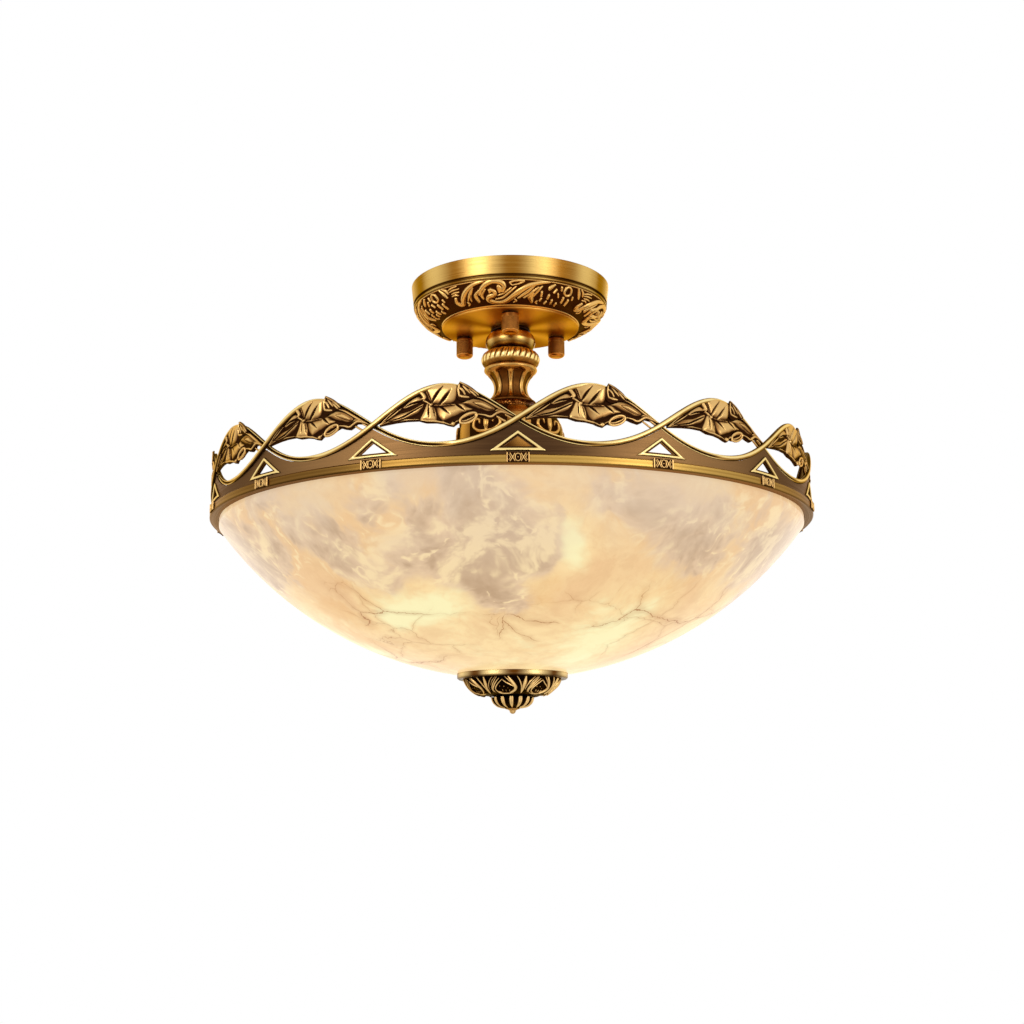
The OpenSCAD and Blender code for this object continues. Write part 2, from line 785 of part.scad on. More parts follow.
module lamp_holders() {
    color(felt) each_lamp() on_lamp() difference() {
        union() {
            translate([0, 0, seat_gap])
                cylinder(d1 = arm_d + 4, d2 = holder_d, h = holder_cone_h);
            translate([0, 0, seat_gap + holder_cone_h - eps])
                cylinder(d = holder_d, h = holder_l - holder_cone_h);
            translate([0, 0, holder_l - 3 * holder_collar])
                cylinder(d = holder_d + 2 * holder_collar, h = holder_collar);
        }
        translate([0, 0, holder_l - socket_depth + seat_gap])
            cylinder(r = cap_d / 2 + run_fit, h = socket_depth + 1);
        translate([0, 0, -1]) cylinder(d = arm_bore_d, h = holder_l - socket_depth + 3);
    }
}

// Move children to the mouth of a lamp's holder
module at_lamp(i) {
    at_angle(lamp_turn + i * 360 / lamps) on_lamp()
        translate([0, 0, seat_gap + holder_l]) children();
}

// The screw cap of a bulb, with its contact button down in the holder
module bulb_cap(i) {
    color(steel) at_lamp(i) translate([0, 0, -cap_l - 1]) {
        cylinder(d = cap_d, h = cap_l - 1);
        translate([0, 0, -2]) cylinder(d1 = cap_d / 3, d2 = cap_d - 2, h = 2 + eps);
    }
}

// The opal glass of a bulb, from its neck to the round globe
module bulb_globe(i) {
    globe_z = bulb_l - cap_l - globe_d / 2;
    color("white") at_lamp(i) {
        translate([0, 0, -2]) cylinder(d = cap_d - 1, h = 3);
        translate([0, 0, seat_gap])
            cylinder(d1 = bulb_neck_d, d2 = bulb_shoulder_d, h = globe_z - bulb_shoulder_h);
        translate([0, 0, globe_z]) sphere(d = globe_d);
    }
}

module bulb_cap_1() { bulb_cap(0); }
module bulb_cap_2() { bulb_cap(1); }
module bulb_cap_3() { bulb_cap(2); }
module bulb_cap_4() { bulb_cap(3); }
module bulb_cap_5() { bulb_cap(4); }
module bulb_globe_1() { bulb_globe(0); }
module bulb_globe_2() { bulb_globe(1); }
module bulb_globe_3() { bulb_globe(2); }
module bulb_globe_4() { bulb_globe(3); }
module bulb_globe_5() { bulb_globe(4); }

module tube_coupler() {
    color(brass) difference() {
        translate([0, 0, z_tube_low - coupler_h / 2]) cylinder(d = rod_nut_af, h = coupler_h);
        translate([0, 0, z_tube_low - coupler_h / 2 - 1])
            cylinder(r = rod_d / 2 + run_fit, h = coupler_h + 2);
    }
}

module bowl_rod() {
    z_end = z_leaf_cup_low - knob_bore + 1;
    color(steel) translate([0, 0, z_end]) cylinder(d = rod_d, h = z_tube_low - seat_gap - z_end);
}

module inner_disc() {
    color(brass) ring(inner_disc_r, rod_d / 2 + run_fit, z_inner_disc - inner_disc_t, z_inner_disc);
}

module stop_nut() {
    color(steel) translate([0, 0, z_inner_disc]) hex_nut(rod_nut_af, rod_nut_h, rod_d / 2 + run_fit);
}

module alabaster_bowl() {
    color(stone) difference() {
        intersection() {
            translate([0, 0, z_bowl_centre]) sphere(r = bowl_curve_r, $fn = 180);
            translate([0, 0, -bowl_low - 5]) cylinder(r = lip_r, h = bowl_low + 5 + z_lip, $fn = 180);
        }
        translate([0, 0, z_bowl_centre]) sphere(r = bowl_inner_r, $fn = 180);
        translate([0, 0, -bowl_low - 5]) cylinder(r = bowl_hole_r, h = 3 * bowl_wall);
        translate([0, 0, z_inner_seat]) cylinder(r = inner_disc_r + seat_room, h = bowl_wall);
        translate([0, 0, z_outer_seat - bowl_wall])
            cylinder(r = seal_r + 3 * seat_room, h = bowl_wall);
    }
}

module lip_seal() {
    color(felt) ring(lip_r - 1, crown_in - flange_depth + 1, z_lip, z_flange);
}

module inner_seal() {
    color(felt) ring(inner_disc_r, bowl_hole_r, z_inner_seat, z_inner_seat + seal_t);
}

// Outline of the crown's wall that is cut away above the swag of one bay. It runs on a little
// past the crossings, so that the cuts of two bays meet in one clean point there.
module eye_outline() {
    steps = 16;
    half = bay / 2 + 1;
    line = [for (i = [0:steps]) let (a = -half + 2 * i * half / steps, p = 180 - abs(arch_phase(a)))
        [crown_r * sin(a), strand_z(p) - strand_half(p) - seat_gap]];
    top = z_strand + 3 * strand_swing;
    polygon(concat(line, [[line[steps][0] + 3, top], [line[0][0] - 3, top]]));
}

// Outline of a window frame, shrunk by a border
module window_outline(border) {
    foot = z_band + window_lift;
    slant = norm([window_w / 2, window_h]);
    rise = border * slant / (window_w / 2);
    spread = border * (slant + window_w / 2) / window_h;
    polygon([
        [-window_w / 2 + spread, foot + border], [window_w / 2 - spread, foot + border],
        [0, foot + window_h - rise]
    ]);
}

module crown_wall_ring() {
    color(aged) difference() {
        rotate_extrude() {
            translate([crown_in, z_flange])
                square([crown_wall, z_strand + strand_swing - z_flange]);
            translate([crown_in - flange_depth, z_flange]) square([flange_depth + eps, crown_wall]);
        }
        each_bay() outward(crown_r * 0.8, crown_r * 1.1) eye_outline();
        each_window() outward(crown_r * 0.8, crown_r * 1.1) window_outline(window_border);
    }
}

// Section of the strand: two raised edges with a groove between, as offsets up and out
strand_section = [
    [-0.5, -0.5], [0.5, -0.5], [0.5, 0.15], [0.32, 0.5], [0, 0.18], [-0.32, 0.5], [-0.5, 0.15]
];

// A corner of the strand's section at a phase and a corner index
function strand_point(p, k) =
    let (
        up = strand_section[k][0] * strand_w,
        out = strand_section[k][1] * strand_t,
        tilt = atan(strand_slope(p)),
        a = crown_turn + bay / 2 + p / 180 * bay - up * sin(tilt) / strand_r * 180 / PI,
        r = strand_r + out - strand_weave * sin(p),
        z = strand_z(p) + up * cos(tilt)
    )
    [r * sin(a), -r * cos(a), z];

// Half a wave of the strand, from one crossing to the next, as a closed ribbon between two phases
module strand_piece(from, to) {
    steps = (to - from) / strand_step;
    sides = len(strand_section);
    trim = seat_gap / 2 / (PI * strand_r / 180 * bay) * 180;
    phases = [for (i = [0:steps]) i == 0 ? from + trim : i == steps ? to - trim : from + i * strand_step];
    points = [for (p = phases) for (k = [0:sides - 1]) strand_point(p, k)];
    walls = [for (i = [0:steps - 1]) for (k = [0:sides - 1])
        let (
            j = i + 1,
            n = (k + 1) % sides
        )
        each [
            [i * sides + k, j * sides + k, j * sides + n],
            [i * sides + k, j * sides + n, i * sides + n]
        ]];
    // The section is hollow between its two ridges, so each end is a fan from the bottom of the groove
    start = [for (k = [0:sides - 1]) if (k != 4 && k != 3) [4, k, (k + 1) % sides]];
    end = [for (f = start) [steps * sides + f[0], steps * sides + f[2], steps * sides + f[1]]];
    polyhedron(points = points, faces = concat(walls, start, end), convexity = 10);
}

// The strand's arches, each from a crossing up over a bay and down to the next crossing
module crown_arches() {
    color(bright) for (i = [0:bays - 1]) at_angle(i * bay) strand_piece(-90, 90);
}

// The strand's swags, each from a crossing down along the wall's edge to the next crossing
module crown_swags() {
    color(bright) for (i = [0:bays - 1]) at_angle(i * bay) strand_piece(90, 270);
}

module window_frames() {
    low = z_band + window_lift - 1;
    high = low + window_h + 2;
    span = 2 * asin(window_w / 2 / crown_r) + 2;
    color(bright) each_window() intersection() {
        sector(crown_r + seat_gap + relief, crown_r + seat_gap, low, high, span);
        outward(crown_r * 0.8, crown_r * 1.1) difference() {
            window_outline(0);
            window_outline(window_border);
        }
    }
}

module lip_band() {
    inner = crown_r + seat_gap;
    foot_in = lip_r + 0.5;
    color(bright) rotate_extrude() polygon([
        [inner, z_band], [band_r - 0.8, z_band], [band_r, z_band - 0.8],
        [band_r, z_band_low + 1], [band_r - 1, z_band_low], [foot_in, z_band_low],
        [foot_in, z_lip - seat_gap], [crown_in, z_lip - seat_gap],
        [crown_in, z_flange - seat_gap], [inner, z_flange - seat_gap]
    ]);
}

module crown_clasps() {
    span = clasp_w / band_r * 180 / PI;
    color(aged) each_window()
        sector(band_r + seat_gap + relief, band_r + seat_gap, z_band_low + seat_gap,
            z_band + clasp_rise, span);
}

// A flat ellipse of length l and width w, turned by an angle
module petal(at, l, w, a) {
    translate(at) rotate(a) intersection() {
        lens = (l * l + w * w) / (4 * w);
        translate([0, w / 2 - lens]) circle(r = lens, $fn = 64);
        translate([0, lens - w / 2]) circle(r = lens, $fn = 64);
    }
}

// A stem between two points of a spray
module stem(p, q) {
    d = q - p;
    translate(p) rotate(atan2(d[1], d[0])) translate([0, -stem_w / 2]) square([norm(d), stem_w]);
}

// Ground of a spray: it follows the arch above and a ragged leaf edge below
module spray_outline() {
    reach = 6 * strand_step;
    arch = [for (p = [reach:-strand_step:-reach]) let (a = p / 180 * bay)
        [strand_r * sin(a), strand_z(p) - strand_half(p) - 2 * seat_gap]];
    below = [
        [-36, 1.6], [-22, 1.1], [-14, -0.9], [-11, 0.6], [-4, -0.4], [4, -3.9],
        [8, -5.4], [12, -2.9], [22, -1.9], [28, 0.6], [36, 0.6]
    ];
    polygon(concat(arch, [for (p = below) [p[0], z_strand + p[1]]]));
}

// Raised leaves, bow, bud and curl of a spray
module spray_relief() {
    top = strand_z(0) - strand_half(0);
    petal([-2, top - leaf_w / 2 - 1.5], leaf_l, leaf_w, 8);
    translate([0, z_strand]) {
        petal([4, 6.1], leaf_l * 0.7, leaf_w * 0.8, -28);
        petal([-12, 5.1], leaf_l * 0.45, leaf_w * 0.5, 62);
        petal([29, 8.6], bud_l, bud_w, -32);
        stem([-36, 4.1], [-16, 14.1]);
        stem([-34, 2.6], [-14, 7.1]);
        stem([24, 3.6], [36, 3.1]);
        translate([18, 0.3]) difference() {
            circle(r = curl_r, $fn = 32);
            circle(r = curl_r - stem_w, $fn = 32);
        }
    }
}

// One spray, at the front
module leaf_spray() {
    low = z_strand - strand_swing;
    high = z_strand + strand_swing + 4;
    base = strand_r - spray_t / 2;
    intersection() {
        sector(base + spray_t, base, low, high, bay * 0.86);
        outward(crown_r * 0.8, crown_r * 1.1) spray_outline();
    }
    intersection() {
        sector(base + spray_t + leaf_relief, base + spray_t / 2, low, high, bay * 0.86);
        outward(crown_r * 0.8, crown_r * 1.1) intersection() {
            spray_relief();
            spray_outline();
        }
    }
}

module leaf_sprays() {
    color(brass) each_bay() leaf_spray();
}

module outer_seal() {
    color(felt) ring(seal_r, bowl_hole_r, z_seal_low, z_outer_seat);
}

// A revolved outline cut by grooves of width w that go down to a core let in from it
module grooved(count, w) {
    difference() {
        children(0);
        for (i = [0:count - 1])
            rotate([0, 0, (i + 0.5) * 360 / count])
                translate([0, -w / 2, z_tip - tip_r - 1]) cube([cup_r, w, cup_r]);
    }
    children(1);
}

module cup_disc() {
    color(bright) rotate_extrude() polygon([
        [hole_r, z_cup_low], [cup_r - 1, z_cup_low], [cup_r, z_cup_low + 1], [cup_r, z_cup - seat_gap],
        [cup_r - cup_lip, stone_z(cup_r - cup_lip) - seat_gap], [cup_r - cup_lip, z_seal_low],
        [hole_r, z_seal_low]
    ]);
}

// Half outline of the leaf cup, let in by a depth
module leaf_cup_outline(t) {
    r = leaf_cup_curve - t;
    steps = 12;
    a0 = asin((z_cup_low - seat_gap - z_leaf_cup_axis) / r);
    arc = [for (i = [0:steps]) on_arc([leaf_cup_axis, z_leaf_cup_axis], r, a0 + (-90 - a0) * i / steps)];
    polygon(concat([[hole_r, z_cup_low - seat_gap]], arc, [[hole_r, z_leaf_cup_low + t]]));
}

module leaf_cup() {
    color(aged) grooved(cup_leaves, leaf_groove_w) {
        rotate_extrude() leaf_cup_outline(0);
        rotate_extrude() leaf_cup_outline(leaf_groove);
    }
}

// Half outline of the finial knob from its top down to the tip ball, let in by a depth
module knob_outline(t) {
    top = z_leaf_cup_low - seat_gap;
    steps = 8;
    arc = [for (i = [0:steps]) on_arc([knob_axis, top], knob_curve - t, -80 * i / steps)];
    polygon(concat([[0, top]], arc, [[tip_r * 0.8 - t / 2, z_tip], [0, z_tip]]));
}

module finial_knob() {
    color(aged) difference() {
        union() {
            grooved(knob_ribs, leaf_groove_w) {
                rotate_extrude() knob_outline(0);
                rotate_extrude() knob_outline(leaf_groove);
            }
            translate([0, 0, z_tip]) sphere(r = tip_r);
        }
        translate([0, 0, z_leaf_cup_low - knob_bore]) cylinder(r = rod_d / 2 + run_fit, h = knob_bore + 1);
    }
}

ceiling_bracket();
bracket_studs();
stud_lock_nuts();
earth_screw();
terminal_block();
terminal_screws();
canopy_rim();
canopy_cast_band();
canopy_plate();
thumb_nut_front();
thumb_nut_right();
thumb_nut_left();
nut_washer_front();
nut_washer_right();
nut_washer_left();
stem_tube();
tube_washer();
tube_nut();
neck_ring();
stem_ball();
gadroon_knop();
fluted_stem();
stippled_collar();
cluster_dome();
cluster_spacer();
dome_leaves();
cluster_plate();
cluster_nut();
lamp_arms();
lamp_holders();
bulb_cap_1();
bulb_cap_2();
bulb_cap_3();
bulb_cap_4();
bulb_cap_5();
bulb_globe_1();
bulb_globe_2();
bulb_globe_3();
bulb_globe_4();
bulb_globe_5();
tube_coupler();
bowl_rod();
stop_nut();
inner_disc();
alabaster_bowl();
lip_seal();
inner_seal();
outer_seal();
crown_wall_ring();
crown_arches();
crown_swags();
window_frames();
lip_band();
crown_clasps();
leaf_sprays();
cup_disc();
leaf_cup();
finial_knob();
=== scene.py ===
import math

import bpy
import numpy as np
from mathutils import Matrix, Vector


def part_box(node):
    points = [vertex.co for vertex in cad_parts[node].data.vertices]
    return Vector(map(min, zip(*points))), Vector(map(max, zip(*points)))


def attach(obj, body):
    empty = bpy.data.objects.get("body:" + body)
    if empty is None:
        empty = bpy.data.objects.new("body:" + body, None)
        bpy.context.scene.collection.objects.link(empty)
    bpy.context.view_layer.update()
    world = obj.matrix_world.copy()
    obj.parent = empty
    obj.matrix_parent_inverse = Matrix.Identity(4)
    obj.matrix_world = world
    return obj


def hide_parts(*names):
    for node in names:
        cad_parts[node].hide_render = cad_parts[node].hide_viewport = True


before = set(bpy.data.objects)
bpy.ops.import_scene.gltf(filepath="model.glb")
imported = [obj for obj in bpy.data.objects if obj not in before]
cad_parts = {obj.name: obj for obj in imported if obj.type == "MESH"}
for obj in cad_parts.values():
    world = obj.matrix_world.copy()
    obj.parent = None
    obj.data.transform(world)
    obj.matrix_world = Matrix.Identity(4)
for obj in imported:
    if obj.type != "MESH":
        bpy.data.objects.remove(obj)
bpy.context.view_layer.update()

bl_info = {
    "name": "Alabaster ceiling light",
    "version": (1, 0, 0),
    "blender": (4, 5, 0),
    "location": "3D View > Sidebar > Ceiling light",
    "description": "Dresses the packed ceiling light with cast brass, lit alabaster and brushed metal",
    "category": "Object",
}

MM = 0.001

# Lengths below are in millimetres and angles in degrees from the front, positive towards +X, where nothing
# else is said. The crown's bays, the middle of the window nearest the front, and the lamps
BAYS = 15
BAY = 360 / BAYS
FIRST_WINDOW = 1.1
LAMPS = 5
FIRST_LAMP = -27
LAMP_ANGLES = [FIRST_LAMP + 360 / LAMPS * i for i in range(LAMPS)]
SIDES = ("front", "right", "left")


def box_mm(node):
    """Lowest and highest corner of a CAD node in millimetres."""
    low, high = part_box(node)
    return np.array(low) / MM, np.array(high) / MM


# Crown: the gap under what lies on its wall and band, their faces, the windows and clasps, and the woven
# strand
SEAT_GAP = 0.15
WALL_R = box_mm("crown_wall_ring")[1][0]
BAND_R = box_mm("lip_band")[1][0]
WINDOW_W = 39.4
WINDOW_BORDER = 3.1
CLASP_W = 16.3
STRAND_W = 4.2
STRAND_SWING = 20.75
STRAND_SHARP = 1.9
STRAND_WEAVE = 1.5
STRAND_R = WALL_R - 0.7
STRAND_MID = box_mm("crown_arches")[1][2] - STRAND_SWING - STRAND_SHARP - STRAND_W / 2

# Bowl: radius of the sphere that its outside follows, its wall, and the radii of its seat and hole
SPHERE_R = 303.0
STONE_WALL = 12.0
STONE_SEAT_R = 30.0
STONE_HOLE_R = 8.0


def smooth_line(points, steps=8):
    """Smooth line through points of any width: on each span, a cubic whose direction at each of its two
    points is that between the points beside it."""
    p = np.asarray(points, float)
    if len(p) < 3:
        t = np.linspace(0, 1, steps + 1)[:, None]
        return p[0] * (1 - t) + p[-1] * t
    q = np.vstack([2 * p[0] - p[1], p, 2 * p[-1] - p[-2]])
    t = np.linspace(0, 1, steps, endpoint=False)[:, None]
    a, b, c, d = (q[i:len(q) - 3 + i][:, None, :] for i in range(4))
    line = 0.5 * (2 * b + (c - a) * t + (2 * a - 5 * b + 4 * c - d) * t ** 2
                  + (3 * b - a - 3 * c + d) * t ** 3)
    return np.vstack([line.reshape(-1, p.shape[1]), p[-1:]])


def carve(u, v, strokes, ground=0.0):
    """Relief of a carved pattern. Each stroke is a smooth line of (u, v, half width, height), alone or with
    the share of a groove down its middle. Its section is a half ellipse across the line, and the highest
    stroke wins."""
    relief = np.full(u.shape, float(ground))
    for stroke in strokes:
        groove = 0.0
        if isinstance(stroke, tuple):
            stroke, groove = stroke
        line = smooth_line(stroke)
        reach = line[:, 2].max()
        near = ((u > line[:, 0].min() - reach) & (u < line[:, 0].max() + reach)
                & (v > line[:, 1].min() - reach) & (v < line[:, 1].max() + reach))
        if not near.any():
            continue
        pu, pv = u[near][:, None], v[near][:, None]
        a, b = line[:-1], line[1:]
        du, dv = b[:, 0] - a[:, 0], b[:, 1] - a[:, 1]
        share = np.clip(((pu - a[:, 0]) * du + (pv - a[:, 1]) * dv) / (du ** 2 + dv ** 2 + 1e-9), 0, 1)
        away = np.hypot(pu - a[:, 0] - share * du, pv - a[:, 1] - share * dv)
        half = a[:, 2] + share * (b[:, 2] - a[:, 2])
        top = a[:, 3] + share * (b[:, 3] - a[:, 3])
        x = away / np.maximum(half, 1e-3)
        section = np.sqrt(np.clip(1 - x ** 2, 0, 1)) - groove * np.exp(-(x / 0.3) ** 2)
        best = np.where(x < 1, top * section, -9).max(1)
        relief[near] = np.maximum(relief[near], best)
    return relief


def grid_faces(rows, columns, wrap_rows=False, wrap_columns=False):
    """Corner numbers of the four-sided faces of a grid whose points are stored row by row."""
    i = np.arange(rows if wrap_rows else rows - 1)[:, None]
    j = np.arange(columns if wrap_columns else columns - 1)[None, :]
    i2, j2 = (i + 1) % rows, (j + 1) % columns
    faces = np.stack([i * columns + j, i * columns + j2, i2 * columns + j2, i2 * columns + j], -1)
    return faces.reshape(-1, 4)


def on_ring(angle, radius, level):
    """Points at an angle in degrees from the front, positive towards +X, at a radius and a level."""
    a = np.radians(angle)
    return np.stack(np.broadcast_arrays(radius * np.sin(a), -radius * np.cos(a), level), -1)


def arc_line(centre, radius, start, end, count):
    """Points of a circular arc in the radius and level plane, from one angle in degrees to another."""
    t = np.radians(np.linspace(start, end, count))
    return np.stack([centre[0] + radius * np.cos(t), centre[1] + radius * np.sin(t)], -1)


def run_along(line):
    """Length from a line's first point to each of its points."""
    return np.concatenate([[0], np.cumsum(np.hypot(*np.diff(line, axis=0).T))])


def resample(line, count):
    """The same line with evenly spaced points."""
    line = np.asarray(line, float)
    step = run_along(line)
    s = np.linspace(0, step[-1], count)
    return np.stack([np.interp(s, step, line[:, 0]), np.interp(s, step, line[:, 1])], -1)


def outline_normals(line):
    """Outward normals of an outline that runs down the outer side."""
    d = np.gradient(line, axis=0)
    n = np.stack([-d[:, 1], d[:, 0]], -1)
    return n / np.maximum(np.hypot(n[:, 0], n[:, 1]), 1e-9)[:, None]


class Shape:
    """Points, faces and per-point values of a piece, joined from many parts."""

    def __init__(self):
        self.points, self.faces, self.values, self.count = [], [], {}, 0

    def add(self, points, faces, **values):
        """Adds points, faces by the numbers of their corners, and values of the points, or one value for
        all."""
        points = np.asarray(points, float).reshape(-1, 3)
        self.points.append(points)
        self.faces.append((np.asarray(faces), self.count))
        for name in set(self.values) | set(values):
            self.values.setdefault(name, [np.zeros(self.count)])
            value = values.get(name, 0.0)
            self.values[name].append(np.broadcast_to(np.asarray(value, float).reshape(-1)
                                                     if np.ndim(value) else value, (len(points),)))
        self.count += len(points)

    def revolve(self, face, push, hollow, back=(), turn=0.0, closed=True):
        """The outline of the face is turned about Z, and push moves each of its points out along the
        outline's own normal. The plain points of the back close it. Rows of push and hollow run round,
        columns down."""
        angles, extra = len(push), np.zeros((len(push), len(back)))
        theta = np.arange(angles) * 360 / angles + turn
        line = np.vstack([face, back]) if len(back) else face
        push = np.hstack([push, extra])
        out = outline_normals(line)
        points = on_ring(theta[:, None], line[:, 0] + push * out[:, 0], line[:, 1] + push * out[:, 1])
        self.add(points, grid_faces(angles, len(line), True, closed), hollow=np.hstack([hollow, extra + 1]))

    def tube(self, path, radius, sides=10, closed=False, hollow=0.0):
        """A round section carried along a path of points, with rounded closing rings at its ends."""
        path = np.asarray(path, float)
        n = len(path)
        if closed:
            along = np.roll(path, -1, 0) - np.roll(path, 1, 0)
        else:
            along = np.gradient(path, axis=0)
        along /= np.linalg.norm(along, axis=1)[:, None]
        out = path * [1, 1, 0]
        out /= np.maximum(np.linalg.norm(out, axis=1), 1e-9)[:, None]
        side = np.cross(along, out)
        side /= np.maximum(np.linalg.norm(side, axis=1), 1e-9)[:, None]
        out = np.cross(side, along)
        r = np.broadcast_to(np.asarray(radius, float), (n,)).copy()
        if not closed:
            ends = np.minimum(np.arange(n), np.arange(n)[::-1])
            r = r * np.sqrt(np.clip((ends + 0.02) / 2.0, 0, 1))
        t = np.arange(sides) * 2 * np.pi / sides
        points = (path[:, None] + r[:, None, None] * (np.cos(t)[None, :, None] * out[:, None]
                                                      + np.sin(t)[None, :, None] * side[:, None]))
        self.add(points, grid_faces(n, sides, closed, True)[:, ::-1], hollow=hollow)

    def build(self, name, body, material, replaces=(), smooth=True):
        """Puts the shape into a mesh, in metres, and lets it ride on its body."""
        mesh = bpy.data.meshes.new(name)
        points = np.concatenate(self.points) * MM
        faces = [f + offset for f, offset in self.faces]
        corners = np.concatenate([f.reshape(-1) for f in faces])
        sizes = np.concatenate([np.full(len(f), f.shape[1]) for f in faces])
        mesh.vertices.add(len(points))
        mesh.vertices.foreach_set("co", points.astype(np.float32).ravel())
        mesh.loops.add(len(corners))
        mesh.loops.foreach_set("vertex_index", corners.astype(np.int32))
        mesh.polygons.add(len(sizes))
        mesh.polygons.foreach_set("loop_start", (np.cumsum(sizes) - sizes).astype(np.int32))
        mesh.polygons.foreach_set("loop_total", sizes.astype(np.int32))
        mesh.polygons.foreach_set("use_smooth", np.full(len(sizes), smooth))
        for key, parts in self.values.items():
            data = mesh.attributes.new(key, "FLOAT", "POINT").data
            data.foreach_set("value", np.concatenate(parts).astype(np.float32))
        mesh.update(calc_edges=True)
        mesh.validate()
        piece = bpy.data.objects.new(name, mesh)
        bpy.context.scene.collection.objects.link(piece)
        mesh.materials.append(material)
        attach(piece, body)
        if replaces:
            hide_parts(*replaces)
        return piece


def lay_blade(relief, u, v, outline, veins=(), height=1.0, edge=1.2, base=0.25, tilt=(0.0, 0.0)):
    """Lays a leaf over the relief. Inside its smooth outline it rises from base to height by
    1 - exp(-distance from the outline / edge), tilts to the right and up by the given amounts for each
    millimetre, and is cut by its veins."""
    line = smooth_line(outline + outline[:1], 5)[:-1]
    low, high = line.min(0), line.max(0)
    near = (u > low[0]) & (u < high[0]) & (v > low[1]) & (v < high[1])
    pu, pv = u[near][:, None], v[near][:, None]
    a, b = line, np.roll(line, -1, 0)
    rise = np.where(b[:, 1] == a[:, 1], 1e-9, b[:, 1] - a[:, 1])
    meets = (b[:, 0] - a[:, 0]) * (pv - a[:, 1]) / rise + a[:, 0]
    crosses = ((a[:, 1] > pv) != (b[:, 1] > pv)) & (pu < meets)
    inside = crosses.sum(1) % 2 == 1
    d = b - a
    share = np.clip(((pu - a[:, 0]) * d[:, 0] + (pv - a[:, 1]) * d[:, 1]) / ((d ** 2).sum(1) + 1e-9), 0, 1)
    away = np.hypot(pu - a[:, 0] - share * d[:, 0], pv - a[:, 1] - share * d[:, 1]).min(1)
    middle = (low + high) / 2
    top = height + tilt[0] * (pu[:, 0] - middle[0]) + tilt[1] * (pv[:, 0] - middle[1])
    top = base + (top - base) * (1 - np.exp(-away / edge))
    top = top - np.clip(carve(pu[:, 0], pv[:, 0], veins, 0.0), 0, None)
    value = relief[near]
    value[inside] = top[inside]
    relief[near] = value


def soften(field, passes, around=False):
    """Each value mixed with its neighbours, a quarter from each side, along both axes, again and again.
    Where it goes around, the rows join up."""
    for _ in range(passes):
        for axis in (0, 1):
            margin = [(1, 1) if k == axis else (0, 0) for k in (0, 1)]
            wide = np.pad(field, margin, mode="wrap" if around and axis == 0 else "edge")
            count = field.shape[axis]
            field = (wide.take(range(count), axis) + 2 * field + wide.take(range(2, count + 2), axis)) / 4
    return field


def patina_and_shading_of(relief, reach, ground=0.6, cavity=2.4, slope=1.0, around=False, side=0.0, top=1.0):
    """Share of dark on a relief whose columns run down: patina towards its ground and where it lies under the
    mean of its surroundings, and painted shade where the metal faces down, by slope, or to the right, by
    side, as if lit from above and the left."""
    below = np.clip(soften(relief, reach, around) - relief, -0.12, 0.5)
    smooth = soften(relief, 1, around)
    down, right = np.gradient(smooth, axis=1), -np.gradient(smooth, axis=0)
    deep = (1 - np.clip(relief / top, 0, 1)) ** 1.4
    return np.clip(ground * deep + cavity * below - slope * down + side * right + 0.1, 0, 1)


def hollow_of(relief, low, high):
    """1 where the relief is down at low, 0 where it is up at high."""
    return np.clip((high - relief) / (high - low), 0, 1)


class Tree:
    """Short calls for adding nodes to a material or a group."""

    def __init__(self, tree):
        self.tree = tree

    def add(self, kind, links=None, **settings):
        """A node of a kind with its settings; links gives its inputs, by number or name."""
        node = self.tree.nodes.new(kind)
        for key, value in settings.items():
            setattr(node, key, value)
        for key, value in (links or {}).items():
            self.put(node.inputs[key], value)
        return node

    def put(self, socket, value):
        """Links a socket or a node's first output to a socket, or sets the socket to a value."""
        if isinstance(value, bpy.types.NodeSocket):
            self.tree.links.new(value, socket)
        elif isinstance(value, bpy.types.Node):
            self.tree.links.new(value.outputs[0], socket)
        else:
            socket.default_value = value

    def math(self, operation, a, b=None, clamp=False):
        links = {i: x for i, x in enumerate((a, b)) if x is not None}
        return self.add("ShaderNodeMath", links, operation=operation, use_clamp=clamp).outputs[0]

    def plus(self, a, b, clamp=False):
        return self.math("ADD", a, b, clamp)

    def minus(self, a, b):
        return self.math("SUBTRACT", a, b)

    def times(self, a, b):
        return self.math("MULTIPLY", a, b)

    def most(self, a, b):
        return self.math("MAXIMUM", a, b)

    def vector(self, operation, a, b):
        """Scaling takes a number for b, the other operations a vector."""
        links = {0: a, "Scale" if operation == "SCALE" else 1: b}
        return self.add("ShaderNodeVectorMath", links, operation=operation).outputs[0]

    def blend(self, share, a, b, mode="MIX"):
        """Colour a at 0, colour b at 1."""
        node = self.add("ShaderNodeMix", {0: share, 6: a, 7: b}, data_type="RGBA", blend_type=mode)
        return node.outputs[2]

    def between(self, value, low, high, to_low=0.0, to_high=1.0):
        """Moves a value from one range into another, with a soft start and end."""
        node = self.add("ShaderNodeMapRange", {0: value, 1: low, 2: high, 3: to_low, 4: to_high},
                        interpolation_type="SMOOTHSTEP")
        return node.outputs[0]

    def place(self):
        """Object coordinates, in metres."""
        return self.add("ShaderNodeTexCoord").outputs["Object"]

    def noise(self, vector, scale, detail=2.0, roughness=0.5, output="Fac"):
        node = self.add("ShaderNodeTexNoise", {"Vector": vector, "Scale": scale, "Detail": detail,
                                               "Roughness": roughness})
        return node.outputs[output]

    def value(self, name):
        """A value that the mesh keeps for each of its points."""
        return self.add("ShaderNodeAttribute", attribute_name=name).outputs["Fac"]


def linear(r, g, b):
    """A screen colour of 0 to 255 as linear light with alpha."""
    c = np.array([r, g, b]) / 255.0
    c = np.where(c <= 0.04045, c / 12.92, ((c + 0.055) / 1.055) ** 2.4)
    return (*c.tolist(), 1.0)


def light_of(colour):
    """Linear light with alpha of a colour, which is named in the panel, a screen colour, or such light
    already."""
    if isinstance(colour, str):
        return (*getattr(bpy.context.scene.ceiling_light_look, colour), 1.0)
    return linear(*colour) if len(colour) == 3 else colour


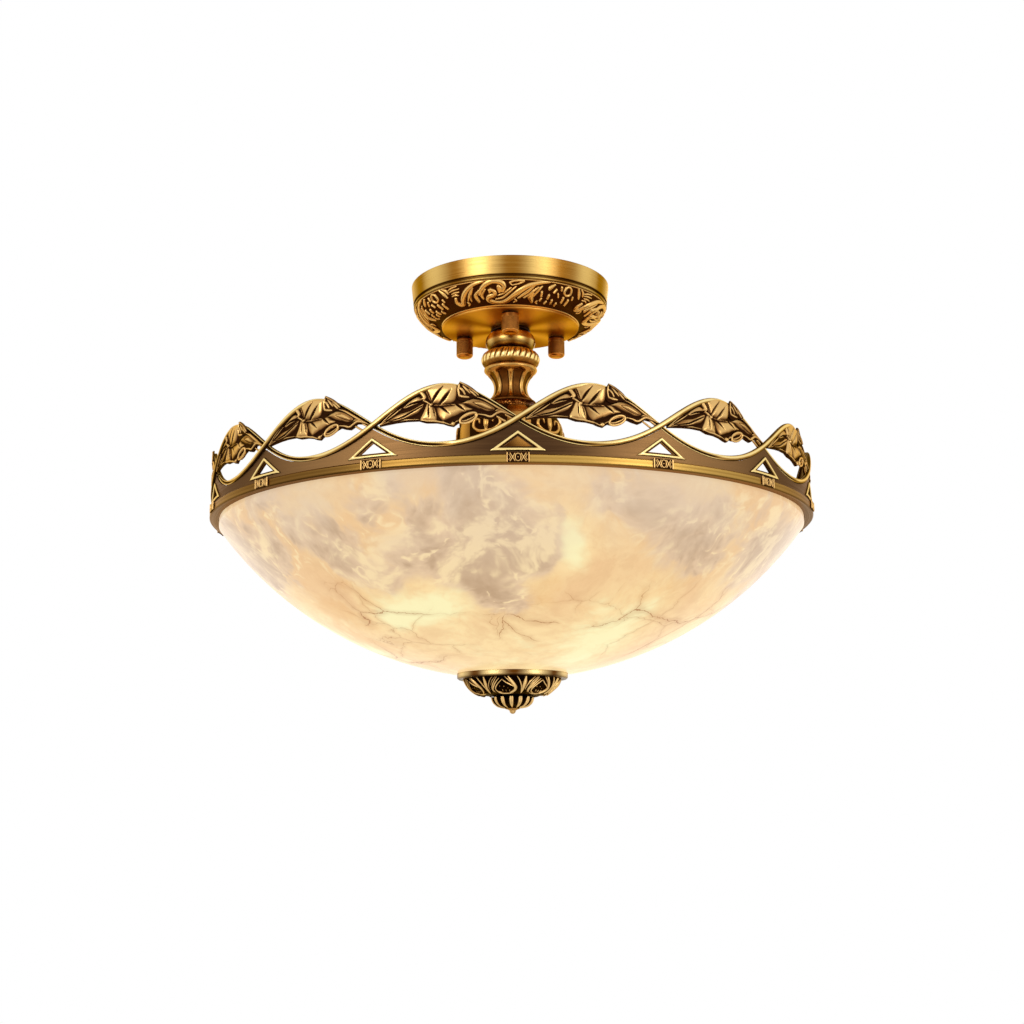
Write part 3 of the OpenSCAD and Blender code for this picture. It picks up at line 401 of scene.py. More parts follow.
FLOAT, COLOR = "NodeSocketFloat", "NodeSocketColor"


def new_group(name, inputs, outputs):
    """An empty node group with named inputs, each of a kind and with a default, and named outputs."""
    group = bpy.data.node_groups.new(name, "ShaderNodeTree")
    for label, kind, default in inputs:
        socket = group.interface.new_socket(label, in_out="INPUT", socket_type=kind)
        socket.default_value = default
    for label, kind in outputs:
        group.interface.new_socket(label, in_out="OUTPUT", socket_type=kind)
    return group


def streak_group():
    """Painted reflections: soft light and dark fans round the axis, as turned and brushed brass shows them,
    and fine turning lines.
    """
    group = new_group("Painted reflection fans and turned brushing", [
        ("Fans", FLOAT, 7.0), ("Lines", FLOAT, 900.0), ("Turn", FLOAT, 0.0)],
        [("Fan", FLOAT), ("Line", FLOAT)])
    t = Tree(group)
    given = t.add("NodeGroupInput").outputs
    x, y, z = t.add("ShaderNodeSeparateXYZ", {0: t.place()}).outputs
    angle = t.math("ARCTAN2", x, t.times(y, -1.0))
    radius = t.math("SQRT", t.plus(t.times(x, x), t.times(y, y)))
    safe = t.most(radius, 1e-5)
    across, ahead = t.math("DIVIDE", x, safe), t.math("DIVIDE", y, safe)
    round_place = t.add("ShaderNodeCombineXYZ", {0: across, 1: ahead, 2: given["Turn"]})
    drift = t.noise(round_place, 2.6)
    swing = t.plus(angle, t.times(t.minus(drift, 0.5), 0.22))
    wave = t.math("COSINE", t.plus(t.times(swing, given["Fans"]), given["Turn"]))
    fan = t.minus(0.5, t.times(wave, 0.5))
    spun = t.add("ShaderNodeCombineXYZ", {
        0: t.times(across, 1.5), 1: t.times(ahead, 1.5), 2: t.times(t.plus(radius, z), given["Lines"])})
    t.add("NodeGroupOutput", {"Fan": fan, "Line": t.noise(spun, 1.0, 2.0, 0.6)})
    return group


def patina_and_light_group():
    """Dark patina in the hollows and painted shade, rubbed metal on the high parts and painted highlights,
    all from one value, and a cloudy change of tone.
    """
    group = new_group("Rubbed patina and painted light", [
        ("Hollow", FLOAT, 0.0), ("Scale", FLOAT, 120.0), ("Bright", COLOR, (1, 1, 1, 1)),
        ("Middle", COLOR, (0.5, 0.5, 0.5, 1)), ("Dark", COLOR, (0, 0, 0, 1))],
        [("Color", COLOR), ("Roughness", FLOAT)])
    t = Tree(group)
    given = t.add("NodeGroupInput").outputs
    cloud = t.noise(t.place(), given["Scale"], 4.0)
    depth = t.plus(given["Hollow"], t.times(t.minus(cloud, 0.5), 0.5))
    upper = t.blend(t.between(depth, 0.08, 0.5), given["Bright"], given["Middle"])
    color = t.blend(t.between(depth, 0.45, 0.8), upper, given["Dark"])
    t.add("NodeGroupOutput", {"Color": color, "Roughness": t.between(depth, 0.1, 0.9, 0.24, 0.62)})
    return group


GROUP_MAKERS = {"streaks": streak_group, "patina": patina_and_light_group}
GROUPS = {}


def group_node(t, name, **inputs):
    """The outputs of a node that holds one of the shared groups, which is made when it is first asked for."""
    if name not in GROUPS:
        GROUPS[name] = GROUP_MAKERS[name]()
    return t.add("ShaderNodeGroup", inputs, node_tree=GROUPS[name]).outputs


def new_material(name):
    """A material with a bare shader, and the tree to build on."""
    material = bpy.data.materials.new(name)
    material.use_nodes = True
    material.node_tree.nodes.clear()
    t = Tree(material.node_tree)
    surface = t.add("ShaderNodeBsdfPrincipled")
    t.add("ShaderNodeOutputMaterial", {"Surface": surface.outputs[0]})
    return material, t, surface


def set_surface(t, surface, **values):
    """Sets inputs of the shader, named with underscores for spaces."""
    for key, value in values.items():
        t.put(surface.inputs[key.replace("_", " ")], value)


def bump(t, height, distance, strength):
    return t.add("ShaderNodeBump", {"Height": height, "Distance": distance, "Strength": strength}).outputs[0]


def ramp(t, value, stops):
    """Colours along a value, from stops of a place and a share of light; low shares turn brown."""
    node = t.add("ShaderNodeValToRGB", {0: value})
    elements = node.color_ramp.elements
    for place, _ in stops[1:-1]:
        elements.new(place)
    for element, (place, light) in zip(elements, stops):
        element.position = place
        element.color = (light, light ** 1.2, light ** 1.5, 1.0)
    return node.outputs[0]


def level_share(t, node):
    """0 at the top of a CAD node, 1 at its foot."""
    low, high = box_mm(node)
    z = t.add("ShaderNodeSeparateXYZ", {0: t.place()}).outputs[2]
    return t.add("ShaderNodeMapRange", {0: z, 1: high[2] * MM, 2: low[2] * MM}).outputs[0]


def brushed_metal(name, bright, dark, fans=7.0, lines=1500.0, turn=0.0, roughness=0.3, node=None, levels=None,
                  edge=(255, 226, 170)):
    """Turned, brushed and lacquered brass: painted reflection fans of light and dark round the axis, and
    painted highlights and shade in bands at the levels of the node's edges and grooves and towards its foot."""
    material, t, surface = new_material(name)
    mask = group_node(t, "streaks", Fans=fans, Lines=lines, Turn=turn)
    share = t.plus(mask["Fan"], t.times(t.minus(mask["Line"], 0.5), 0.5), clamp=True)
    color = t.blend(share, dark, bright)
    if node:
        color = t.blend(1.0, color, ramp(t, level_share(t, node), levels), "MULTIPLY")
    set_surface(t, surface, Base_Color=color, Metallic=1.0, Specular_Tint=linear(*edge),
                Roughness=t.between(mask["Line"], 0.3, 0.7, roughness - 0.06, roughness + 0.08),
                Normal=bump(t, mask["Line"], 0.00004, 0.5))
    return material


def cast_metal(name, bright, middle, dark, scale=120.0):
    """Cast brass: patina and painted light and shade by the piece's own per-point value, with a fine casting
    grain.
    """
    material, t, surface = new_material(name)
    tone = group_node(t, "patina", Hollow=t.value("hollow"), Scale=scale, Bright=bright, Middle=middle,
                      Dark=dark)
    grain = t.noise(t.place(), 900.0, 3.0)
    set_surface(t, surface, Base_Color=tone["Color"], Metallic=1.0, Specular_Tint=linear(255, 220, 165),
                Roughness=tone["Roughness"], Normal=bump(t, grain, 0.00006, 0.6))
    return material


def plain_material(name, a, b, scale, metallic, roughness, depth=0.00003):
    """A quiet finish: two near tones, clouded, with a fine grain."""
    material, t, surface = new_material(name)
    place = t.place()
    cloud = t.noise(place, scale, 5.0)
    grain = t.noise(place, scale * 12)
    set_surface(t, surface, Base_Color=t.blend(t.between(cloud, 0.35, 0.65), a, b), Metallic=metallic,
                Roughness=t.between(cloud, 0.3, 0.7, roughness - 0.05, roughness + 0.07),
                Normal=bump(t, grain, depth, 0.5))
    return material


def stippled_material(name, bright, dark):
    """Cast brass punched all over with small dots."""
    material, t, surface = new_material(name)
    dots = t.add("ShaderNodeTexVoronoi", {"Vector": t.place(), "Scale": 620.0}).outputs["Distance"]
    share = t.between(dots, 0.2, 0.6)
    set_surface(t, surface, Base_Color=t.blend(share, bright, dark), Metallic=1.0, Roughness=0.4,
                Normal=bump(t, t.minus(1.0, share), 0.0003, 0.8))
    return material


def opal_glass(name, bright, dark, lit, strength):
    """Opal glass of two near whites that glows faintly."""
    material, t, surface = new_material(name)
    cloud = t.noise(t.place(), 30.0)
    set_surface(t, surface, Base_Color=t.blend(cloud, bright, dark), Roughness=0.22, Emission_Color=lit,
                Emission_Strength=strength)
    return material


# The stone's own screen colours: brown haze, stains, hottest light, thin smoke, the smoke's shaded side,
# its lit edges, and the pale veil under the lip; and the linear colour that its unlit surface is darkened
# with
STONE_HAZE = linear(222, 178, 128)
STONE_STAIN = linear(232, 178, 114)
STONE_HOT = linear(255, 245, 190)
STONE_THIN_SMOKE = linear(227, 196, 162)
STONE_SHADE = linear(188, 156, 122)
STONE_GLEAM = linear(255, 228, 176)
STONE_VEIL = linear(228, 205, 180)
STONE_UNLIT = (0.05, 0.04, 0.03, 1.0)

# The stone's patterns, in waves for each metre: clouds, fine haze, stains, zones with cracks, and the puffs
# of the clouds with their shares; then how far the pattern is bent, as waves, detail and metres
CLOUD_WAVES = 13.0
HAZE_WAVES = 95.0
STAIN_WAVES = 12.0
ZONE_WAVES = 8.0
PUFFS = ((26.0, 2.2), (58.0, 1.5), (126.0, 1.1))
BROAD_BEND = (9.0, 2.0, 0.06)
SMALL_BEND = (48.0, 3.0, 0.012)
CRACK_BEND = (130.0, 3.0, 0.006)

# Cracks: cells for each metre, share of a cell that a crack fills, and strength; then how much wider and
# weaker the brown seam beside each crack is
CRACKS = ((9.0, 0.006, 0.9), (19.0, 0.008, 0.55))
SEAM_WIDTH, SEAM_SHARE = 9, 0.28

# How far the clouds' pattern is moved, in metres, to find their shaded and lit sides
SHADE_STEP = (-0.003, 0.0, 0.0055)


def warp(t, vector, waves, detail, far):
    """A place pushed by up to half of far along each axis, by smooth noise."""
    push = t.vector("SUBTRACT", t.noise(vector, waves, detail, 0.55, "Color"), (0.5, 0.5, 0.5))
    return t.vector("ADD", vector, t.vector("SCALE", push, far))


def alabaster_material(name, warm, pale, grey, vein):
    """Polished translucent stone, lit from inside: grey clouds with billowing edges where the smoke value
    is high, light between their puffs, fine brown cracks in the lower half, and hot pools of light by the
    lamps."""
    material, t, surface = new_material(name)
    place = t.place()
    glow, rim, smoke = t.value("glow"), t.value("rim"), t.value("smoke")
    bent = warp(t, warp(t, place, *BROAD_BEND), *SMALL_BEND)
    beside = t.vector("ADD", bent, SHADE_STEP)
    broad = t.noise(bent, CLOUD_WAVES, 5.0, 0.52)
    shadow = t.minus(t.noise(beside, CLOUD_WAVES, 5.0, 0.52), broad)
    haze = t.noise(bent, HAZE_WAVES, 5.0, 0.62)
    puffs = 0.0
    for waves, share in PUFFS:
        wave = t.math("ABSOLUTE", t.minus(t.noise(bent, waves, 0.0, 0.55), 0.5))
        puffs = t.plus(puffs, t.times(wave, share))
    billow = t.times(t.minus(puffs, 0.42), 1.5)
    drift = t.minus(broad, 0.5)

    # Lit stone: warm to pale by the glow, with haze, stains and the hottest light over it
    tone = t.blend(t.between(t.plus(glow, t.times(drift, 3.0)), -0.5, 0.4), warm, pale)
    tone = t.blend(t.between(haze, 0.35, 0.6, 0.28, 0.0), tone, STONE_HAZE)
    stained = t.between(t.noise(bent, STAIN_WAVES, 6.0, 0.6), 0.47, 0.66, 0.0, 0.55)
    tone = t.blend(t.times(stained, t.between(glow, 0.1, 0.6, 1.0, 0.2)), tone, STONE_STAIN)
    hot = t.plus(glow, t.plus(t.times(billow, 0.35), t.times(drift, 1.6)))
    tone = t.blend(t.between(hot, 0.3, 1.2), tone, STONE_HOT)

    # Clouds: thin and thick smoke, its shaded side, and the light on its edges and between its puffs
    stir = t.plus(t.times(drift, 2.7), t.times(billow, 0.4))
    smoky = t.plus(smoke, t.times(stir, t.between(smoke, 0.02, 0.4, 0.12, 1.0)))
    gleam = t.times(t.between(billow, -0.5, -0.2, 1.0, 0.0), t.between(smoke, 0.05, 0.4, 0.0, 0.85))
    tone = t.blend(t.between(smoky, 0.05, 0.55, 0.0, 0.85), tone, STONE_THIN_SMOKE)
    tone = t.blend(t.between(smoky, 0.45, 1.15, 0.0, 0.9), tone, grey)
    shaded = t.times(t.between(shadow, -0.01, 0.06, 0.0, 0.8), t.between(smoky, 0.2, 0.7))
    tone = t.blend(shaded, tone, STONE_SHADE)
    light = t.times(t.between(shadow, -0.06, 0.0, 0.85, 0.0), t.between(smoke, 0.04, 0.35))
    tone = t.blend(t.most(light, gleam), tone, STONE_GLEAM)

    # Cracks, away from the lip and the clouds, and the veil under the lip
    crooked = warp(t, bent, *CRACK_BEND)
    cracks = 0.0
    for cells, width, share in CRACKS:
        cell = t.add("ShaderNodeTexVoronoi", {"Vector": crooked, "Scale": cells}, feature="DISTANCE_TO_EDGE")
        away = cell.outputs[0]
        cracks = t.most(cracks, t.between(away, 0.0, width, share, 0.0))
        cracks = t.most(cracks, t.between(away, 0.0, SEAM_WIDTH * width, SEAM_SHARE * share, 0.0))
    cracked = t.between(t.noise(place, ZONE_WAVES, 3.0, 0.55), 0.43, 0.53)
    clear = t.times(t.between(rim, 0.1, 0.6, 1.0, 0.0), t.between(smoke, 0.1, 0.4, 1.0, 0.15))
    tone = t.blend(t.times(cracks, t.times(cracked, clear)), tone, vein)
    veil = t.times(t.between(rim, 0.2, 0.95), t.between(drift, -0.14, 0.12, 0.1, 0.62))
    tone = t.blend(veil, tone, STONE_VEIL)
    set_surface(t, surface, Base_Color=t.blend(0.75, tone, STONE_UNLIT), Roughness=0.24, Emission_Color=tone,
                Emission_Strength=bpy.context.scene.ceiling_light_look.glow, Specular_IOR_Level=0.1,
                Normal=bump(t, broad, 0.0002, 0.2))
    return material


# Finishes, each with its maker, the material's name, its colours from bright to dark, and its other settings.
# A colour is a screen colour, linear light with alpha, or one of the panel's. Levels are places from the top
# of the node to its foot, each with its share of painted light, which paints highlights and shade in bands;
# fans and turn set painted reflection fans round the axis
FINISHES = {
    "rim": (brushed_metal, "Brushed rim brass", [(222, 184, 106), (148, 98, 30)], {
        "fans": 11.0, "roughness": 0.32, "node": "canopy_rim", "levels": [
            (0.0, 0.8), (0.04, 1.0), (0.74, 0.95), (0.78, 0.22), (0.86, 0.2), (0.9, 0.9), (0.95, 0.6),
            (1.0, 0.2)]}),
    "plate": (brushed_metal, "Brushed plate brass", [(252, 190, 88), (172, 106, 38)], {
        "turn": 0.6, "roughness": 0.42, "edge": (255, 212, 138), "node": "canopy_plate",
        "levels": [(0.0, 1.0), (0.2, 1.0), (1.0, 0.9)]}),
    "band": (brushed_metal, "Brushed band brass", [(202, 162, 84), (116, 82, 36)], {
        "fans": 3.0, "lines": 1800.0, "turn": 2.2, "roughness": 0.32, "edge": (255, 226, 196),
        "node": "lip_band", "levels": [
            (0.0, 0.25), (0.06, 0.9), (0.22, 1.0), (0.46, 0.72), (0.7, 1.0), (0.84, 0.9), (0.92, 0.35),
            (1.0, 0.3)]}),
    "cup": (brushed_metal, "Brushed cup brass", [(244, 216, 152), (98, 56, 12)], {
        "fans": 8.0, "lines": 2400.0, "turn": -0.4, "edge": (255, 240, 216), "node": "cup_disc",
        "levels": [(0.0, 0.45), (0.15, 0.9), (0.35, 1.0), (0.7, 0.8), (0.9, 0.35), (1.0, 0.12)]}),
    # Fans and levels paint highlights either side of the front, high on the ball, and painted shade towards
    # its underside
    "ball": (brushed_metal, "Brushed ball brass", [(250, 210, 124), (176, 124, 54)], {
        "fans": 9.2, "turn": -0.86, "roughness": 0.26, "node": "stem_ball",
        "levels": [(0.0, 0.35), (0.1, 0.5), (0.2, 1.0), (0.5, 0.9), (0.72, 0.5), (0.88, 0.22), (1.0, 0.12)]}),
    "dome": (brushed_metal, "Brushed dome brass", [(206, 150, 74), (112, 68, 24)], {
        "fans": 9.0, "turn": 1.0, "roughness": 0.34, "node": "cluster_dome",
        "levels": [(0.0, 0.5), (0.1, 0.9), (0.5, 1.0), (0.8, 0.8), (1.0, 0.35)]}),
    "field": (brushed_metal, "Bronzed crown wall", [(140, 104, 64), (74, 50, 30)], {
        "fans": 6.0, "roughness": 0.42, "edge": (255, 226, 200)}),
    "cast": (cast_metal, "Rubbed cast brass with painted shade", ["brass_bright", "brass_middle", "brass_dark"], {}),
    "spray": (cast_metal, "Leaf spray brass", [(220, 178, 112), (144, 102, 56), (50, 26, 12)],
              {"scale": 90.0}),
    "gadroon": (cast_metal, "Gadrooned brass", [(255, 224, 146), (186, 136, 66), (60, 32, 8)], {}),
    "stem": (cast_metal, "Stem brass with patina and painted light", [(210, 160, 86), (114, 70, 28), (42, 20, 6)], {}),
    "leaf_cup": (cast_metal, "Dark leaf cup brass", [(238, 198, 130), (132, 86, 36), (14, 5, 2)], {}),
    "strand": (cast_metal, "Polished strand brass with painted light", [(246, 218, 146), (158, 116, 54), (46, 26, 8)],
               {"scale": 60.0}),
    "nut": (cast_metal, "Bronzed thumb nut", [(206, 136, 60), (112, 62, 24), (36, 14, 5)], {}),
    "stippled": (stippled_material, "Stippled collar brass", [(206, 132, 60), (92, 46, 12)], {}),
    "dark": (plain_material, "Dark bronze", [(70, 40, 18), (40, 20, 8)],
             {"scale": 150.0, "metallic": 1.0, "roughness": 0.45}),
    "plain_brass": (plain_material, "Turned plain brass", [(214, 170, 84), (184, 140, 64)],
                    {"scale": 80.0, "metallic": 1.0, "roughness": 0.3}),
    "steel": (plain_material, "Zinc-plated steel", [(0.5, 0.5, 0.51, 1), (0.38, 0.38, 0.4, 1)],
              {"scale": 90.0, "metallic": 1.0, "roughness": 0.36}),
    "white_plastic": (plain_material, "White plastic", [(0.82, 0.8, 0.74, 1), (0.74, 0.72, 0.66, 1)],
                      {"scale": 40.0, "metallic": 0.0, "roughness": 0.45}),
    "dark_plastic": (plain_material, "Dark heat-proof plastic",
                     [(0.05, 0.045, 0.04, 1), (0.03, 0.028, 0.026, 1)],
                     {"scale": 60.0, "metallic": 0.0, "roughness": 0.4}),
    "felt": (plain_material, "Dark felt", [(0.06, 0.05, 0.045, 1), (0.03, 0.026, 0.022, 1)],
             {"scale": 400.0, "metallic": 0.0, "roughness": 0.95, "depth": 0.0002}),
    "opal": (opal_glass, "Lit opal glass", [(236, 222, 196), (228, 212, 184), (255, 238, 204)],
             {"strength": 0.62}),
    "alabaster": (alabaster_material, "Lit alabaster",
                  ["stone_warm", (255, 224, 166), (202, 171, 137), (160, 88, 24)], {}),
}
MATERIALS = {}


def finish_of(name):
    """The material of a finish, made when it is first asked for."""
    if name not in MATERIALS:
        maker, label, colours, settings = FINISHES[name]
        MATERIALS[name] = maker(label, *[light_of(colour) for colour in colours], **settings)
    return MATERIALS[name]


def paint(name, *nodes):
    """Gives CAD nodes that keep their own shape a finish."""
    for node in nodes:
        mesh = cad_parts[node].data
        mesh.materials.clear()
        mesh.materials.append(finish_of(name))


class CeilingLightLook(bpy.types.PropertyGroup):
    """Sizes and colours of the dressing that a user would change."""
    band_relief: bpy.props.FloatProperty(
        name="Canopy relief", description="Height of the cast ornament on the canopy, in metres",
        default=0.0018, min=0.0005, max=0.003, precision=4, subtype="DISTANCE", unit="LENGTH")
    spray_relief: bpy.props.FloatProperty(
        name="Leaf relief", description="Height of the leaves in the crown's sprays, in metres",
        default=0.0018, min=0.0005, max=0.0019, precision=4, subtype="DISTANCE", unit="LENGTH")
    gadroons: bpy.props.IntProperty(
        name="Gadroons", description="Number of slanted ribs round the knop", default=28, min=12, max=40)
    cup_leaves: bpy.props.IntProperty(
        name="Cup leaves", description="Number of leaves round the cup under the bowl",
        default=7, min=5, max=12)
    # The three brass colours are also the painted highlights and shade of cast pieces: the bright one where
    # their metal faces up or left, the dark one where it faces down or right, besides the rubbed high parts
    # and the patina of the hollows
    brass_bright: bpy.props.FloatVectorProperty(
        name="Rubbed brass", description="Colour of the rubbed, high parts", subtype="COLOR",
        default=linear(232, 184, 108)[:3], min=0.0, max=1.0)
    brass_middle: bpy.props.FloatVectorProperty(
        name="Aged brass", description="Colour of the aged surface between", subtype="COLOR",
        default=linear(158, 104, 44)[:3], min=0.0, max=1.0)
    brass_dark: bpy.props.FloatVectorProperty(
        name="Patina", description="Colour of the dark hollows", subtype="COLOR",
        default=linear(68, 33, 11)[:3], min=0.0, max=1.0)
    stone_warm: bpy.props.FloatVectorProperty(
        name="Alabaster", description="Colour of the lit stone away from the lamps", subtype="COLOR",
        default=linear(242, 200, 147)[:3], min=0.0, max=1.0)
    glow: bpy.props.FloatProperty(
        name="Glow", description="Strength of the light that comes through the stone",
        default=0.8, min=0.0, max=3.0)


# Canopy ornament: points round the ring, degrees that one pattern covers, radius on which it is drawn flat,
# arch of the face over its chord, depth of the ground under the solid's face, and depth of the ring behind
# the face
BAND_POINTS = 1200
BAND_PERIOD = 90
BAND_DRAWN_R = 72.0
BAND_ARCH = 4.2
BAND_GROUND = 0.9
BAND_WALL = 3


class CEILING_LIGHT_OT_canopy(bpy.types.Operator):
    """Make the canopy's cast band and finish its rim and plate"""
    bl_idname = "ceiling_light.canopy"
    bl_label = "Canopy"

    def execute(self, context):
        height = context.scene.ceiling_light_look.band_relief / MM
        low, high = box_mm("canopy_cast_band")
        top_r, top_z, low_z = high[0], high[2], low[2]
        low_r = box_mm("canopy_plate")[1][0] - 0.8
        face = bulged_line((top_r, top_z), (low_r, low_z), BAND_ARCH, 74)
        back = bulged_line((low_r - BAND_WALL, low_z), (top_r - BAND_WALL, top_z), -BAND_ARCH, 6)
        theta = np.arange(BAND_POINTS) * 360 / BAND_POINTS - 180
        s = run_along(face)
        quarter = np.mod(theta + BAND_PERIOD / 2, BAND_PERIOD) - BAND_PERIOD / 2
        u, v = np.meshgrid(np.radians(quarter) * BAND_DRAWN_R, s, indexing="ij")
        relief = carve_round(u, v, acanthus_strokes(), math.radians(BAND_PERIOD) * BAND_DRAWN_R)
        relief = np.maximum(relief, 0.75 * (rounded(s / 1.1) + rounded((s[-1] - s) / 1.4)))
        band = Shape()
        # Patina on the ground and in the hollows of the ornament, painted shade where it faces down
        patina_and_shading = patina_and_shading_of(relief, 8, 0.72, 2.0, 1.0, True)
        band.revolve(face, relief * height - BAND_GROUND, patina_and_shading, back, -180)
        band.build("canopy_ornament", "fixture", finish_of("cast"), ["canopy_cast_band"])
        paint("rim", "canopy_rim")
        paint("plate", "canopy_plate")
        return {"FINISHED"}


def bulged_line(p, q, bulge, count):
    """Circular arc from p to q that bulges from the chord, to the left of the way when bulge is positive."""
    p, q = np.array(p, float), np.array(q, float)
    d = q - p
    chord = np.hypot(*d)
    radius = (chord ** 2 / 4 + bulge ** 2) / (2 * abs(bulge))
    side = np.array([d[1], -d[0]]) / chord * np.sign(bulge)
    centre = (p + q) / 2 + side * (radius - abs(bulge))
    a = math.atan2(*(p - centre)[::-1])
    b = math.atan2(*(q - centre)[::-1])
    b = a + (b - a + math.pi) % (2 * math.pi) - math.pi
    return arc_line(centre, radius, math.degrees(a), math.degrees(b), count)


def carve_round(u, v, strokes, period):
    """Relief of a pattern that comes again after each period to the right, with what reaches in from both
    sides."""
    return np.maximum.reduce([carve(u + shift, v, strokes) for shift in (0, -period, period)])


def rounded(x):
    """Quarter of a circle: 1 where x is 0, down to 0 where it is 1 or more."""
    return np.maximum(1 - x ** 2, 0) ** 0.5


def tapered(rows, half, height, ends, rise):
    """A stroke for carve through rows of two values. Its half width is thinned to a share at both ends, and
    grows from there with the share of the way to the nearer end, times rise, up to the whole."""
    t = np.linspace(0, 1, len(rows))
    thin = np.minimum(1, ends + rise * np.minimum(t, 1 - t))
    return np.column_stack([np.array(rows, float), half * thin, np.full(len(rows), height)])


def acanthus_strokes():
    """One quarter of the canopy's ornament: scrolling acanthus with a cluster of fruit. Angles and depths
    down the band give each stroke's line, followed by its width and height."""
    def at(rows, width, height=1.0, ends=0.55):
        flat = np.array(rows) * [math.radians(1) * BAND_DRAWN_R, 1]
        return tapered(flat, 1.48 * width, height, ends, 1.6)
    big = [
        at([(-37, 12), (-38, 16), (-36.5, 19.5), (-34, 18.5), (-32, 14), (-28, 8), (-22.5, 3), (-16, 0.8)],
           1.7),
        at([(-4.5, 10.5), (-3.6, 6), (-5.5, 2.6), (-10, 1.5), (-14.5, 3.6), (-18, 8), (-19.5, 12)], 1.6),
        at([(-12, 8.6), (-9.6, 11), (-10.4, 14), (-14, 16), (-14.5, 20), (-10, 23.6), (-5, 23.4), (-1, 20),
            (2.5, 15), (7, 9.5), (12, 4.8), (18, 2), (23, 0.6)], 1.75),
        at([(-7, 6), (-6, 9), (-6.6, 11)], 1.9, 0.9),
        at([(14.5, 12), (13.5, 16), (15.4, 21.5)], 1.9, 0.95),
    ]
    mid = [
        at([(-23, 5.5), (-26, 11), (-29, 16.5)], 1.2, 0.9),
        at([(-19.5, 8.5), (-22.4, 13), (-22, 20)], 1.35, 0.95),
        at([(-24.5, 9), (-26.6, 14), (-27, 18)], 0.8, 0.7),
        at([(-15.5, 8), (-18.4, 13), (-18, 17)], 1.1, 0.85),
        at([(14.6, 5), (10.5, 11), (5.4, 17.5)], 1.2, 0.9),
        at([(17.2, 6), (13, 12), (9.2, 17)], 1.0, 0.85),
        at([(19.4, 5), (17, 10), (15.2, 15)], 1.0, 0.8),
        at([(-10, 18.6), (-5, 17.4), (-1, 12.5), (3.6, 6.5)], 0.75, 0.7),
        at([(-8, 14.6), (-4, 12.6), (0.6, 7.6)], 0.7, 0.65),
        at([(-13.2, 8.8), (-12.6, 10), (-13, 11.4)], 1.1, 0.85),
        at([(1, 5), (0, 3), (3, 1.6), (8, 1.4), (5.4, 3.8), (1.4, 5.2)], 0.7, 0.8),
        at([(-39.6, 3.4), (-37, 2.2), (-33, 1.6)], 0.7, 0.8),
        at([(-39.2, 5), (-36, 4.2), (-32, 4)], 0.7, 0.8),
        at([(-38, 7), (-35.4, 6.6), (-32.6, 6.8)], 0.7, 0.8),
        at([(-38.6, 9.2), (-36, 8.6), (-34, 9.6)], 0.7, 0.75),
        at([(-46, 1), (-44, 5), (-42.6, 9)], 1.1, 0.9),
        at([(-43.6, 1), (-41.4, 3), (-40.4, 6)], 0.9, 0.85),
        at([(-30.6, 18.5), (-30, 21), (-31.6, 23)], 0.8, 0.7),
        at([(3, 19), (4, 21.6), (2.6, 23.6)], 0.9, 0.7),
        at([(19, 20), (18.6, 22.4), (20, 24)], 0.8, 0.65),
    ]
    fruit = [
        at([(27, 2.2), (25, 5), (24.2, 7)], 1.25),
        at([(29, 6), (28, 9)], 1.25),
        at([(20, 10), (20.4, 14)], 1.5),
        at([(21, 16.4), (20.6, 19)], 1.2),
        at([(25.4, 12), (25.2, 15.5)], 1.35),
        at([(31, 9.4), (32, 12.4)], 1.15),
        at([(36, 12), (36.6, 17)], 1.5),
        at([(40.4, 13), (40.8, 19)], 1.35),
        at([(29, 16.6), (29.4, 20.6)], 1.45),
        at([(25.4, 19), (25, 22)], 1.15),
        at([(33.4, 19), (33.6, 22.4)], 1.2),
        at([(32, 3), (32.4, 6)], 1.15),
        at([(35.2, 3), (34.8, 7), (36.8, 9.4), (39.4, 8), (39, 3.4), (36.8, 1.8), (35.4, 2.8)], 0.75, 0.95,
           1.0),
        at([(42.6, 9.4), (43, 12)], 1.0, 0.85),
    ]
    return big + mid + fruit


# Knop and stem: radius that their plain backs keep inside, points round, slant of the gadroons in degrees
# and their depth, and the number and depth of the flutes
STEM_INSIDE_R = 6
KNOP_POINTS = 1120
GADROON_SLANT = 9
GADROON_DEPTH = 1.1
STEM_POINTS = 720
FLUTES = 8
FLUTE_DEPTH = 1.7

# Thumb nut: points round, slanting grooves each way, their twist in radians from end to end and their
# depth, share of the height where the rounded end starts, and the radii that close the two ends
NUT_POINTS = 192
KNURLS = 32
KNURL_TWIST = 26
KNURL_DEPTH = 0.35
NUT_END = 0.82
NUT_TOP_R, NUT_FOOT_R = 3.05, 0.05


